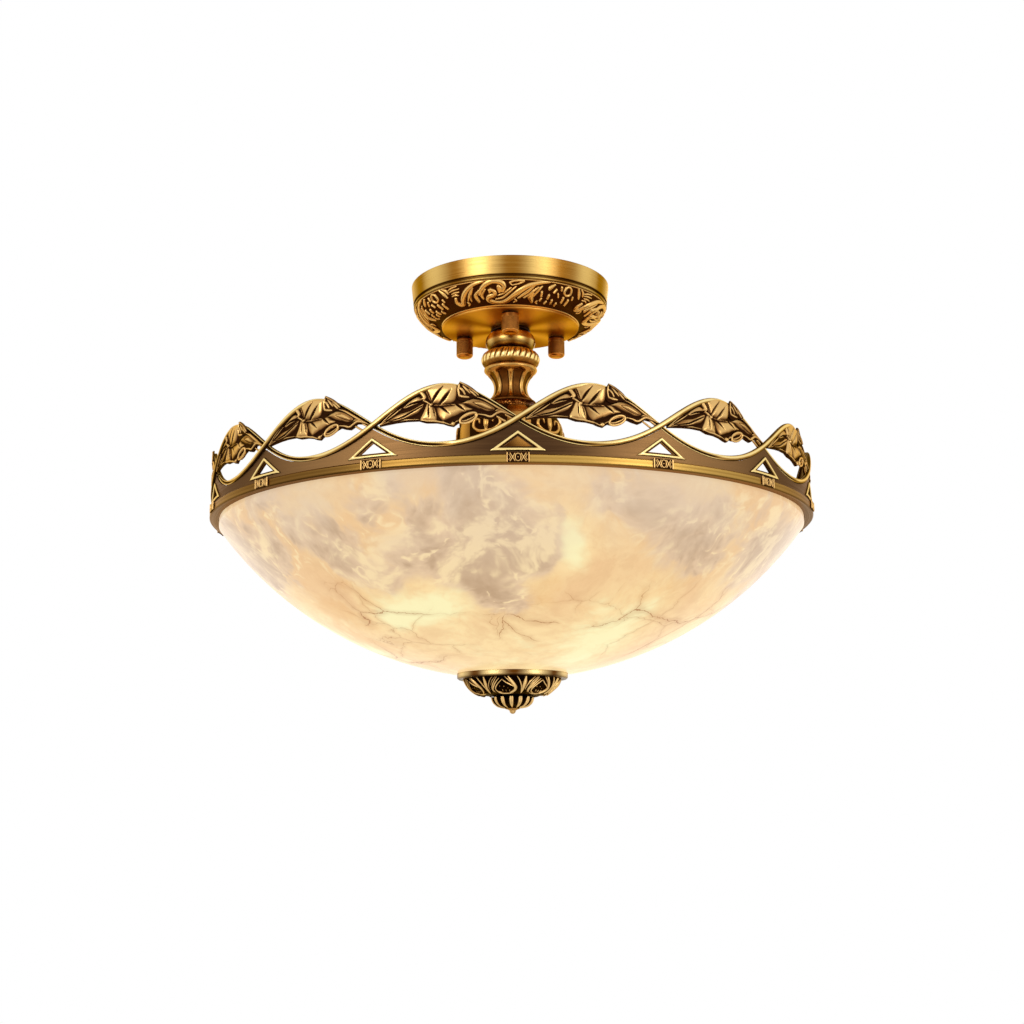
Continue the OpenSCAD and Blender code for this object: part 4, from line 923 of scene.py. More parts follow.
class CEILING_LIGHT_OT_stem(bpy.types.Operator):
    """Make the gadrooned knop, the fluted stem and the knurled nuts, and finish the rest of the stem"""
    bl_idname = "ceiling_light.stem"
    bl_label = "Stem and nuts"

    def execute(self, context):
        self.knop(context.scene.ceiling_light_look.gadroons)
        self.vase()
        for side in SIDES:
            self.nut(side)
        paint("dark", "neck_ring", *["nut_washer_" + side for side in SIDES])
        paint("ball", "stem_ball")
        paint("stippled", "stippled_collar")
        return {"FINISHED"}

    def knop(self, gadroons):
        """Half round ring. Its ribs are a cosine round the axis that slants with the height, and both ends
        stay smooth."""
        low, high = box_mm("gadroon_knop")
        radius = (high[2] - low[2]) / 2
        middle = (high[0] - radius, (high[2] + low[2]) / 2)
        face = arc_line(middle, radius, 88, -88, 42)
        theta = np.arange(KNOP_POINTS) * 360 / KNOP_POINTS
        tall = (middle[1] + radius - face[:, 1]) / (2 * radius)
        phase = np.radians(theta[:, None] + GADROON_SLANT * (tall - 0.5)) * gadroons
        rib = np.abs(np.cos(phase / 2)) ** 0.7
        ribbed = np.clip((tall - 0.03) / 0.12, 0, 1) * np.clip((0.78 - tall) / 0.14, 0, 1)
        relief = 1 - (1 - rib) * ribbed
        # Painted shade on the smooth lower band, which faces down; darker also along the top edge under the
        # ball. The grooves between the ribs take patina
        plain = 0.68 * np.clip((tall - 0.66) / 0.12, 0, 1) + 0.5 * np.clip((0.1 - tall) / 0.08, 0, 1)
        hollow = np.clip(1.1 * (1 - relief) + plain - 0.1, 0, 1)
        knop = Shape()
        back = [(STEM_INSIDE_R, low[2]), (STEM_INSIDE_R, high[2])]
        knop.revolve(face, (relief - 1) * GADROON_DEPTH, hollow, back)
        knop.build("gadrooned_knop", "fixture", finish_of("gadroon"), ["gadroon_knop"])

    def vase(self):
        """Waisted stem: the outline swings in from a flange, and sunk flutes with ridges between them run
        down; the ridges carry painted highlights."""
        low, high = box_mm("fluted_stem")
        top, foot, radius = high[2], low[2], high[0]
        tall = top - foot
        t = [0, 0.02, 0.08, 0.13, 0.2, 0.3, 0.42, 0.55, 0.68, 0.8, 0.89, 0.94, 0.98, 1.0]
        r = [0.93, 0.985, 1.0, 0.96, 0.86, 0.73, 0.64, 0.6, 0.62, 0.7, 0.84, 0.93, 0.95, 0.93]
        face = resample(smooth_line(np.column_stack([radius * np.array(r), top - np.array(t) * tall])), 64)
        share = (top - face[:, 1]) / tall
        theta = np.arange(STEM_POINTS) * 360 / STEM_POINTS
        wave = np.abs(np.cos(np.radians(theta[:, None]) * FLUTES / 2))
        ridge = np.exp(-((1 - wave) / 0.08) ** 2)
        seam = np.exp(-((1 - wave - 0.2) / 0.05) ** 2)
        lip = 0.16 + 0.05 * wave
        inside = 1 / (1 + np.exp(-(share - lip) / 0.012)) / (1 + np.exp((share - 0.9) / 0.02))
        hollowed = inside * (1 - wave ** 6)
        relief = np.minimum(1 - hollowed + 0.35 * ridge * inside, 1.35)
        edge = np.exp(-((share - lip) / 0.02) ** 2)
        # Patina deeper in the flutes; painted highlights on the ridges and along the wavy edge where the
        # flutes begin, a darker line beside each ridge, and painted shade on the foot, which widens downwards
        hollow = np.clip(0.2 + (0.1 + 0.22 * hollowed - 0.5 * ridge + 0.4 * seam) * inside - 0.5 * edge
                         + 0.35 * np.clip((share - 0.8) / 0.12, 0, 1), 0, 1)
        stem = Shape()
        stem.revolve(face, (relief - 1) * FLUTE_DEPTH, hollow, [(STEM_INSIDE_R, foot), (STEM_INSIDE_R, top)])
        stem.build("fluted_vase", "fixture", finish_of("stem"), ["fluted_stem"])

    def nut(self, side):
        """Thumb nut: crossed slanting grooves make the knurl, a plain neck above and a rounded end below."""
        low, high = box_mm("thumb_nut_" + side)
        centre = (low + high) / 2
        radius, tall = (high[0] - low[0]) / 2, high[2] - low[2]
        past = 1 - NUT_END
        t = np.concatenate([[0, 0.02], np.linspace(0.05, NUT_END, 60),
                            NUT_END + past * np.linspace(0.1, 1, 14)])
        r = np.where(t < NUT_END, radius, radius * (0.5 + 0.5 * rounded((t - NUT_END) / past)))
        r = np.where((t > 0.1) & (t < 0.16), radius * 0.93, r)
        theta = np.arange(NUT_POINTS) * 360 / NUT_POINTS
        turn = np.radians(theta[:, None]) * KNURLS / 2
        cross = np.abs(np.sin(turn + t * KNURL_TWIST)) * np.abs(np.sin(turn - t * KNURL_TWIST))
        body = (t > 0.17) & (t < 0.84)
        relief = np.where(body, cross ** 0.6, 1.0)
        points = on_ring(theta[:, None], r - KNURL_DEPTH * (1 - relief), high[2] - t * tall)
        foot = on_ring(theta, np.full(NUT_POINTS, NUT_FOOT_R), low[2])[:, None, :]
        cap = on_ring(theta, np.full(NUT_POINTS, NUT_TOP_R), high[2])[:, None, :]
        points = np.concatenate([cap, points, foot], 1) + [centre[0], centre[1], 0]
        # Patina in the knurl's grooves; the rounded end at the foot is painted lighter, as if lit from below,
        # and the closing ring at the top dark
        patina_and_shading = np.where(body, hollow_of(relief, 0.1, 0.9), 0.35) - 0.3 * (t > 0.84)
        hollow = np.hstack([np.ones((NUT_POINTS, 1)), patina_and_shading, np.zeros((NUT_POINTS, 1))])
        nut = Shape()
        nut.add(points, grid_faces(NUT_POINTS, points.shape[1], True, False), hollow=hollow)
        nut.build("knurled_nut_" + side, "nut_" + side, finish_of("nut"),
                  ["thumb_nut_" + side])


# Dome leaves: radius of the dome's shoulder, half the degrees that one leaf's patch covers, tilts in
# degrees and reaches of the fan's lobes, and depth down the patch where the fan's lobes meet
DOME_SHOULDER = 21.0
LEAF_HALF = 23
FAN = ((-62, 12), (-38, 15), (-14, 17), (12, 17), (36, 15), (60, 12))
FAN_DEPTH = 20


class CEILING_LIGHT_OT_lamps(bpy.types.Operator):
    """Finish the dome, its cast leaves, the lamps and all the inner fittings"""
    bl_idname = "ceiling_light.lamps"
    bl_label = "Lamps and fittings"

    def execute(self, context):
        paint("dome", "cluster_dome")
        paint("plain_brass", "lamp_arms", "tube_coupler", "inner_disc", "terminal_screws", "earth_screw",
              *["bulb_cap_%d" % (i + 1) for i in range(LAMPS)])
        paint("steel", "ceiling_bracket", "bracket_studs", "stud_lock_nuts", "stem_tube", "tube_washer",
              "tube_nut", "cluster_plate", "cluster_spacer", "cluster_nut", "bowl_rod", "stop_nut")
        paint("white_plastic", "terminal_block")
        paint("dark_plastic", "lamp_holders")
        paint("opal", *["bulb_globe_%d" % (i + 1) for i in range(LAMPS)])
        paint("felt", "lip_seal", "inner_seal", "outer_seal")
        self.dome_leaves()
        return {"FINISHED"}

    def dome_leaves(self):
        """Five cast leaves on the dome, each a fan of lobes over two scrolls, carved on a patch that
        follows the dome's shoulder and its straight side."""
        high = box_mm("cluster_dome")[1]
        radius = high[0]
        arc = arc_line((radius - DOME_SHOULDER, high[2] - DOME_SHOULDER), DOME_SHOULDER + 0.3, 74, -4, 44)
        face = resample(np.vstack([arc, arc[-1] - [0, 4], arc[-1] - [0, 8]]), 56)
        s = run_along(face)
        out = outline_normals(face)
        angle = np.linspace(-LEAF_HALF, LEAF_HALF, 70)
        u, v = np.meshgrid(np.radians(angle) * radius, s, indexing="ij")
        strokes = [[(0, FAN_DEPTH, 2.2, 2.4), (0, 26, 2.6, 2.6), (0, 31, 1.6, 1.8)]]
        for tilt, reach in FAN:
            x, y = math.sin(math.radians(tilt)), math.cos(math.radians(tilt))
            strokes.append(([(3 * x, FAN_DEPTH - 2 * y, 0.8, 1.2),
                             (reach * 0.6 * x, FAN_DEPTH - reach * 0.62 * y, 1.9, 2.2),
                             (reach * x, FAN_DEPTH - reach * y, 1.1, 1.4)], 0.2))
        for side in (-1, 1):
            strokes.append([(0, 33, 1.5, 1.6), (side * 7, 32, 1.6, 2.2), (side * 12, 28, 1.5, 2.2),
                            (side * 11, 23, 1.3, 2.0), (side * 7, 22.5, 1.2, 1.8),
                            (side * 6, 25.6, 1.1, 1.5)])
        relief = carve(u, v, strokes)
        relief *= np.minimum(1, np.minimum(u - u.min(), u.max() - u) / 2)
        relief *= np.minimum(1, np.minimum(v, v.max() - v) / 2)
        leaves = Shape()
        for lamp in LAMP_ANGLES:
            front, back = (on_ring(lamp + angle[:, None], *(face + lift[..., None] * out).transpose(2, 0, 1))
                           for lift in (relief, np.full(relief.shape, -0.1)))
            add_slab(leaves, front, back, hollow_of(relief, 0.2, 1.9))
        leaves.build("dome_acanthus", "fixture", finish_of("stem"), ["dome_leaves"])


def add_slab(shape, front, back, hollow):
    """A sheet with a front and a back, closed along its four edges. Rows run to the right, columns run
    down."""
    rows, columns = front.shape[:2]
    n = rows * columns
    faces = grid_faces(rows, columns)
    number = np.arange(n).reshape(rows, columns)
    border = np.concatenate([number[0, :], number[1:, -1], number[-1, -2::-1], number[-2:0:-1, 0]])
    following = np.roll(border, -1)
    wall = np.stack([border, border + n, following + n, following], -1)
    points = np.concatenate([front.reshape(-1, 3), back.reshape(-1, 3)])
    value = np.concatenate([np.asarray(hollow).reshape(-1), np.ones(n)])
    shape.add(points, np.concatenate([faces, faces[:, ::-1] + n, wall]), hollow=value)


# Bowl: points round, radius and drop of the flat at the floor of its inside, how far under the lip the even
# glow starts and how much further down it is full, and how far the veil reaches down from the lip. Places
# on the bowl are an angle from the front and a level. The lamps' hot pools have their sizes, the grey clouds
# their sizes and densities. The clouds come again, turned, on the sides that the photograph doesn't show
BOWL_POINTS = 360
FLOOR_FLAT_R = 25.0
FLOOR_FLAT_DROP = 1.4
GLOW_START, GLOW_RISE = 60, 60
VEIL_REACH = 92
GLOW_PLACES = [
    (-29, -299, 20), (-20, -296, 13), (-38, -300, 12), (38, -313, 32), (14, -268, 9), (12, -258, 8),
    (10, -248, 10), (-9, -236, 8), (118, -300, 24), (190, -298, 26), (262, -300, 24),
]
SMOKE_PLACES = [
    (-6, -224, 16, 0.7), (-5, -236, 17, 0.7), (-1, -249, 19, 0.75), (-4, -262, 17, 0.6), (5, -266, 13, 0.6),
    (-6, -277, 14, 0.5), (-2, -293, 13, 0.75), (-17, -243, 12, 0.75), (-24, -224, 14, 0.55),
    (-27, -239, 12, 0.5), (-37, -249, 20, 0.6), (-39, -266, 15, 0.5), (-15, -260, 14, 0.6),
    (-24, -266, 12, 0.5), (-32, -276, 13, 0.45), (-17, -274, 11, 0.5), (-52, -232, 26, 0.4),
    (-60, -252, 24, 0.35), (8, -243, 9, 0.5), (18, -228, 15, 0.5), (27, -238, 17, 0.5),
    (36, -253, 18, 0.55), (47, -263, 14, 0.6), (43, -236, 20, 0.45), (56, -224, 22, 0.5),
    (62, -246, 22, 0.4),
]
SMOKE_TURNS = (0, 125, 236)


class CEILING_LIGHT_OT_bowl(bpy.types.Operator):
    """Make the lit alabaster bowl"""
    bl_idname = "ceiling_light.bowl"
    bl_label = "Alabaster bowl"

    def execute(self, context):
        low, high = box_mm("alabaster_bowl")
        lip_r, lip_z = high[0], high[2]
        inner_r = SPHERE_R - STONE_WALL
        centre_z = low[2] + math.sqrt(SPHERE_R ** 2 - STONE_SEAT_R ** 2)

        def level(radius, sphere):
            """Level of a sphere's lower half at a radius from the axis."""
            return centre_z - math.sqrt(sphere ** 2 - radius ** 2)

        def wall(sphere, start, end, count):
            """Arc down or up a sphere's lower half, between two radii from the axis."""
            start, end = (-math.degrees(math.acos(radius / sphere)) for radius in (start, end))
            return arc_line((0, centre_z), sphere, start, end, count)

        edge_z, seat_z = level(lip_r, SPHERE_R), low[2] + 0.05
        flat_z = level(FLOOR_FLAT_R, inner_r) - FLOOR_FLAT_DROP
        inner = wall(inner_r, FLOOR_FLAT_R, lip_r - STONE_WALL, 50)
        line = np.vstack([
            [(lip_r - 0.8, lip_z), (lip_r - 0.2, lip_z - 0.25), (lip_r, lip_z - 0.9)],
            [(lip_r, (lip_z + edge_z) / 2)], wall(SPHERE_R, lip_r, STONE_SEAT_R, 120),
            [(STONE_SEAT_R, seat_z), (STONE_HOLE_R, seat_z), (STONE_HOLE_R, flat_z), (FLOOR_FLAT_R, flat_z)],
            inner, [(inner[-1][0], lip_z)]])
        theta = np.arange(BOWL_POINTS) * 360 / BOWL_POINTS
        points = on_ring(theta[:, None], line[:, 0], line[:, 1])

        def near(angle, z, size):
            """Bell curve of the distance from a place on the outside: 1 there, 0.37 at the size."""
            place = on_ring(angle, math.sqrt(SPHERE_R ** 2 - (z - centre_z) ** 2), z)
            return np.exp(-(np.linalg.norm(points - place, axis=-1) / size) ** 2)

        glow = 0.14 * np.clip((edge_z - GLOW_START - points[..., 2]) / GLOW_RISE, 0, 1)
        for angle, z, size in GLOW_PLACES:
            glow += 0.75 * near(angle, z, size) + 0.3 * near(angle, z, 2.2 * size)
        smoke = sum(1.2 * dense * near(angle + turn, z, 1.25 * size)
                    for turn in SMOKE_TURNS for angle, z, size, dense in SMOKE_PLACES)
        rim = np.clip((points[..., 2] - edge_z + VEIL_REACH) / VEIL_REACH, 0, 1)
        bowl = Shape()
        bowl.add(points, grid_faces(BOWL_POINTS, len(line), True, True), glow=glow, rim=rim,
                 smoke=np.minimum(smoke, 1.0))
        bowl.build("stone_bowl", "bowl", finish_of("alabaster"), ["alabaster_bowl"])
        return {"FINISHED"}


# Strand: points along its two turns; places across it, from its lower to its upper edge, with the broad rib's
# painted light, a highlight just over its middle and shade towards its edges, and the height and painted
# light of the two thin ribs there, highlights on their crests, dark in the groove between them and shade at
# their outer edges; and the height of the ribs, which is also the depth of the back
STRAND_POINTS = BAYS * 2 * 30
STRAND_ACROSS = [-1, -0.96, -0.86, -0.72, -0.5, -0.28, -0.12, 0, 0.12, 0.28, 0.5, 0.72, 0.86, 0.96, 1.0]
BROAD_SHADING = [1, 0.95, 0.85, 0.66, 0.52, 0.42, 0.3, 0.16, 0, 0, 0.14, 0.36, 0.62, 0.9, 1]
TWIN = [0, 0.5, 0.85, 0.95, 0.6, 0.12, 0.0, 0.0, 0.0, 0.12, 0.6, 0.95, 0.85, 0.5, 0]
TWIN_SHADING = [1, 0.8, 0.3, 0.05, 0.3, 0.9, 1, 1, 1, 0.8, 0.2, 0.0, 0.1, 0.7, 1]
STRAND_RIB = 1.25

# Window frames, from the outer edge inwards: how far in, height over the wall and share of dark, lightest on
# the moulding's ridge
FRAME_INSET = [0.0, 0.05, 0.3, 0.7, 1.2, 1.7, 2.0, 2.3, 2.8, WINDOW_BORDER]
FRAME_HEIGHT = [-0.1, 0.55, 1.0, 1.25, 1.3, 1.1, 0.7, 0.1, -0.1, -2.2]
FRAME_DARKNESS = [0.9, 0.5, 0.1, 0.0, 0.0, 0.2, 0.5, 0.85, 1.0, 1.0]


def strand_level(phase):
    """Level of the woven strand: a cosine wave with a second harmonic that makes the arches tall and the
    swags flat."""
    p = np.radians(phase)
    return STRAND_MID + STRAND_SWING * np.cos(p) + STRAND_SHARP * np.cos(2 * p)


class CEILING_LIGHT_OT_crown(bpy.types.Operator):
    """Make the woven strand, the window frames and the clasps, and finish the crown's wall and band"""
    bl_idname = "ceiling_light.crown"
    bl_label = "Crown"

    def execute(self, context):
        self.strand()
        self.frames()
        self.clasps()
        paint("field", "crown_wall_ring")
        paint("band", "lip_band")
        return {"FINISHED"}

    def strand(self):
        """One ribbon that goes twice round. Its section changes along each wave: a broad rounded rib where it
        rises, two thin ribs with a dark groove where it falls."""
        step = 720 / STRAND_POINTS
        angle = FIRST_WINDOW + BAY / 2 + np.arange(STRAND_POINTS) * step
        phase = (angle - FIRST_WINDOW - BAY / 2) / BAY * 180
        level = strand_level(phase)
        tilt = np.arctan((np.roll(level, -1) - np.roll(level, 1)) / (2 * math.radians(step) * STRAND_R))
        across = np.array(STRAND_ACROSS)
        falling = np.sin(np.radians(phase))
        rising = np.clip(0.5 - 1.6 * falling, 0, 1)[:, None]
        section = np.array(TWIN) * (1 - rising) + np.sqrt(np.clip(1.02 - across ** 2, 0, 1)) * rising
        patina_and_shading = np.array(TWIN_SHADING) * (1 - rising) + np.array(BROAD_SHADING) * rising
        half = (STRAND_W / 2 - 0.1 - 0.35 * np.clip(falling, 0, 1))[:, None]
        radius = STRAND_R - STRAND_WEAVE * falling[:, None]
        up = across * half
        a = angle[:, None] - np.degrees(up * np.sin(tilt)[:, None] / STRAND_R)
        z = level[:, None] + up * np.cos(tilt)[:, None]
        front = on_ring(a, radius + 0.1 + section * STRAND_RIB, z)
        back = on_ring(a[:, ::-1], radius - STRAND_RIB, z[:, ::-1])
        points = np.concatenate([front, back], 1)
        strand = Shape()
        strand.add(points, grid_faces(STRAND_POINTS, points.shape[1], True, True)[:, ::-1],
                   hollow=np.concatenate([patina_and_shading, np.ones(section.shape)], 1))
        strand.build("woven_strand", "bowl", finish_of("strand"),
                     ["crown_arches", "crown_swags"])

    def frames(self):
        """Triangular frames: a moulding carried round three sides, each point moving in to the centre. A
        bright ridge outside, a dark step inside."""
        low, high = box_mm("window_frames")
        foot, apex = low[2], high[2]
        radius = WALL_R + SEAT_GAP
        corners = np.array([(-WINDOW_W / 2, foot), (WINDOW_W / 2, foot), (0, apex)])
        following = np.roll(corners, -1, 0)
        lengths = np.hypot(*(following - corners).T)
        inradius = WINDOW_W * (apex - foot) / lengths.sum()
        opposite = np.roll(lengths, -1)
        centre = (corners * opposite[:, None]).sum(0) / opposite.sum()
        t = np.linspace(0, 1, 14, endpoint=False)[:, None]
        loop = np.concatenate([corners[i] * (1 - t) + following[i] * t for i in range(3)])
        share = (np.array(FRAME_INSET) / inradius)[None, :, None]
        flat = loop[:, None, :] * (1 - share) + centre * share
        size = flat.shape[:2]
        frames = Shape()
        for i in range(BAYS):
            a = FIRST_WINDOW + i * BAY + np.degrees(flat[..., 0] / radius)
            points = on_ring(a, radius + np.array(FRAME_HEIGHT), flat[..., 1])
            frames.add(points, grid_faces(*size, True, False)[:, ::-1],
                       hollow=np.broadcast_to(FRAME_DARKNESS, size))
        frames.build("window_mouldings", "bowl", finish_of("strand"), ["window_frames"])

    def clasps(self):
        """Small cast clasps: a ring between two crossed bars, two half rings at the sides and an upright
        bar at each end, on a dark ground."""
        low, high = box_mm("crown_clasps")
        foot, top = low[2], high[2]
        radius = BAND_R + SEAT_GAP
        h, w = (top - foot) / 2, CLASP_W / 2
        u, v = np.meshgrid(np.linspace(-w, w, 64), np.linspace(h, -h, 32), indexing="ij")
        turn = np.radians(np.arange(0, 361, 30))
        ring = np.column_stack([2 * np.sin(turn), (h - 0.9) * np.cos(turn), 0 * turn + 0.5, 0 * turn + 1])
        strokes = [ring, [(x, 0, 0.6, 0.8) for x in (-0.05, 0, 0.05)]]
        for s in (-1, 1):
            strokes += [
                [(s * 2.2, 1 - h, 0.5, 1.0), (s * 3.7, 0, 0.55, 1.0), (s * 5.4, h - 0.9, 0.5, 1.0)],
                [(s * 2.2, h - 1, 0.5, 1.0), (s * 3.7, 0, 0.55, 1.0), (s * 5.4, 0.9 - h, 0.5, 1.0)],
                [(s * 6.2, 1.6 - h, 0.4, 0.8), (s * 5.2, 0, 0.4, 0.8), (s * 6.2, h - 1.6, 0.4, 0.8)],
                [(s * (w - 0.7), z, 0.55, 1.1) for z in (0.4 - h, 0, h - 0.4)]]
        relief = carve(u, v, strokes)
        z = (foot + top) / 2 + v
        clasps = Shape()
        for i in range(BAYS):
            a = FIRST_WINDOW + i * BAY + np.degrees(u / radius)
            # Patina on the dark ground and painted shade where the clasp's relief faces down
            add_slab(clasps, on_ring(a, radius + 0.2 + relief, z), on_ring(a, radius, z),
                     patina_and_shading_of(relief, 4, 1.0, 1.2, 0.6))
        clasps.build("cast_clasps", "bowl", finish_of("spray"), ["crown_clasps"])


# Sprays: mean radius of their ground, the ends of one spray right of its bay's middle, and its lower
# outline as places right of the middle and over the strand's mean line
SPRAY_R = WALL_R - 1.0
SPRAY_ENDS = (-46.5, 49.0)
SPRAY_FOOT = [
    (-46.5, -3.0), (-43.6, -2.6), (-34, -1.7), (-26, -1.3), (-17, -1.6), (-15, -2.4), (-11.7, -3.4),
    (-4.5, -3.8), (0.5, -4.8), (4, -6.2), (7.5, -7.0), (9.4, -5.6), (11.0, -4.6), (14, -5.0), (18, -4.0),
    (22, -1.9), (25.6, -0.6), (29.2, -1.9), (33.7, -2.9), (36.5, -1.6), (39.2, 0.8), (44.7, 0.0),
    (49.0, -1.4),
]

# The stretch of the arch that the large leaf covers, and how far over the strand's middle it reaches there
SPRAY_COVER = (-13.5, 11.5, 1.9)
SPRAY_PARTS = 3

# Folded leaf: its upper and lower edge and the lines of its lobes. Curl: middle, half axes and turn in
# degrees of the oval. Stems: their lines
FOLD_TOP = [(12.2, 24.9), (16.9, 22.6), (20.6, 20.1), (23.5, 17.5), (25.7, 14.2)]
FOLD_LOW = [(11.9, 24.5), (10.1, 21.1), (9.4, 16.8), (10.4, 12.5), (13.3, 10.7), (17.4, 11.4), (21.2, 13.0),
            (24.1, 12.2), (25.6, 13.4)]
FOLD_LOBES = [
    [(12.2, 24, 0.5, 0.9), (16.8, 21.6, 0.9, 1.0), (21, 18.4, 0.9, 1.0), (25, 14.4, 0.5, 0.9)],
    [(11.6, 22.6, 0.7, 0.9), (11.0, 18.4, 0.9, 1.0), (11.8, 14.0, 0.8, 0.9)],
    [(11.4, 20.6, 0.6, 0.8), (13.8, 18.4, 1.1, 1.0), (15.6, 15.4, 0.7, 0.8)],
    [(14.2, 21.6, 0.5, 0.7), (16.6, 18.8, 0.9, 0.9), (19.2, 16.0, 0.7, 0.8)],
    [(11.6, 14.6, 0.7, 0.8), (14.4, 13.6, 1.1, 1.0), (18.0, 13.2, 0.8, 0.9)],
    [(18.6, 18.6, 0.5, 0.7), (21.0, 16.2, 0.9, 0.9), (23.4, 13.8, 0.6, 0.8)],
]
CURL_MIDDLE, CURL_AXES, CURL_TURN = (18.0, -1.4), (6.3, 2.9), 24
STEMS = ([(36.6, 0.2), (41.4, -2.9), (46.0, -5.8)], [(42.6, 1.2), (46.3, -1.0), (49.4, -3.6)])


class CEILING_LIGHT_OT_sprays(bpy.types.Operator):
    """Make the fifteen leaf sprays under the arches"""
    bl_idname = "ceiling_light.sprays"
    bl_label = "Leaf sprays"

    def execute(self, context):
        height = context.scene.ceiling_light_look.spray_relief / MM
        s = np.linspace(*SPRAY_ENDS, 200)
        start, end, cover = SPRAY_COVER
        upper = strand_level(s / math.radians(BAY) / STRAND_R * 180) - STRAND_MID - 0.4
        upper += cover * np.clip((s - start) / 2.5, 0, 1) * np.clip((end - s) / 2.5, 0, 1)
        lower = np.minimum(np.interp(s, *np.array(SPRAY_FOOT).T), upper - 1.0)
        v = np.linspace(0, 1, 60)
        z = upper[:, None] * (1 - v) + lower[:, None] * v
        s = np.broadcast_to(s[:, None], z.shape)
        relief = spray_relief(s, z)
        rim = np.minimum(1, np.minimum(v, 1 - v) / 0.04) ** 0.5
        # Patina on the ground and in the hollows, painted shade where the leaves face down or to the right,
        # and darker along the spray's upper and lower edge
        patina_and_shading = np.maximum(patina_and_shading_of(relief, 6, 1.1, 1.6, 2.6, False, 1.6, 1.25), 0.85 * (1 - rim))
        front = SPRAY_R + 0.5 + relief * height * (0.3 + 0.7 * rim)
        for part in range(SPRAY_PARTS):
            sprays = Shape()
            for i in range(part, BAYS, SPRAY_PARTS):
                middle = FIRST_WINDOW + (i + 0.5) * BAY
                add_sheet(sprays, on_spray(middle, s, front, z), on_spray(middle, s, SPRAY_R - 0.7, z), patina_and_shading)
                self.folded_leaf(sprays, middle)
                self.tendrils(sprays, middle)
            sprays.build("leaf_sprays_%d" % (part + 1), "bowl", finish_of("spray"),
                         ["leaf_sprays"] if part == 0 else ())
        return {"FINISHED"}

    def folded_leaf(self, shape, middle):
        """The ragged leaf whose tip breaks over the arch: a sheet between its two edges, with lobes along
        it."""
        top = resample(smooth_line(FOLD_TOP, 6), 40)[:, None, :]
        low = resample(smooth_line(FOLD_LOW, 6), 40)[:, None, :]
        v = np.linspace(0, 1, 22)
        flat = top * (1 - v[:, None]) + low * v[:, None]
        u, z = flat[..., 0], flat[..., 1]
        relief = carve(u, z, FOLD_LOBES, 0.12)
        edge = np.minimum(1, 6 * np.minimum(v, 1 - v))
        # Patina in the hollows, painted shade where the lobes face down or to the right, and darker along the
        # leaf's two edges
        patina_and_shading = np.maximum(patina_and_shading_of(relief, 4, 1.0, 1.4, 1.6, False, 0.8, 1.1), 0.7 * (1 - edge))
        add_sheet(shape, on_spray(middle, u, SPRAY_R + 1.6 + 1.1 * relief * edge, z),
                  on_spray(middle, u, SPRAY_R + 0.6, z), patina_and_shading)

    def tendrils(self, shape, middle):
        """The curl that hangs under the bud, a flat oval ring, and the two stems that run down to the
        crossing."""
        t = np.radians(np.arange(0, 360, 12))
        x, y = CURL_AXES[0] * np.cos(t), CURL_AXES[1] * np.sin(t)
        c, s = math.cos(math.radians(CURL_TURN)), math.sin(math.radians(CURL_TURN))
        ring = on_spray(middle, CURL_MIDDLE[0] + x * c - y * s, SPRAY_R + 1.7, CURL_MIDDLE[1] + x * s + y * c)
        shape.tube(ring, 0.85, 8, True, 0.12)
        for stem in STEMS:
            path = smooth_line(stem, 6)
            shape.tube(on_spray(middle, path[:, 0], SPRAY_R + 0.6, path[:, 1]), 0.75, 8, False, 0.2)


def on_spray(middle, along, radius, up):
    """Points of a spray whose bay's middle is at an angle, from lengths to the right of it and over the
    strand's mean line."""
    return on_ring(middle + np.degrees(along / STRAND_R), radius, up + STRAND_MID)


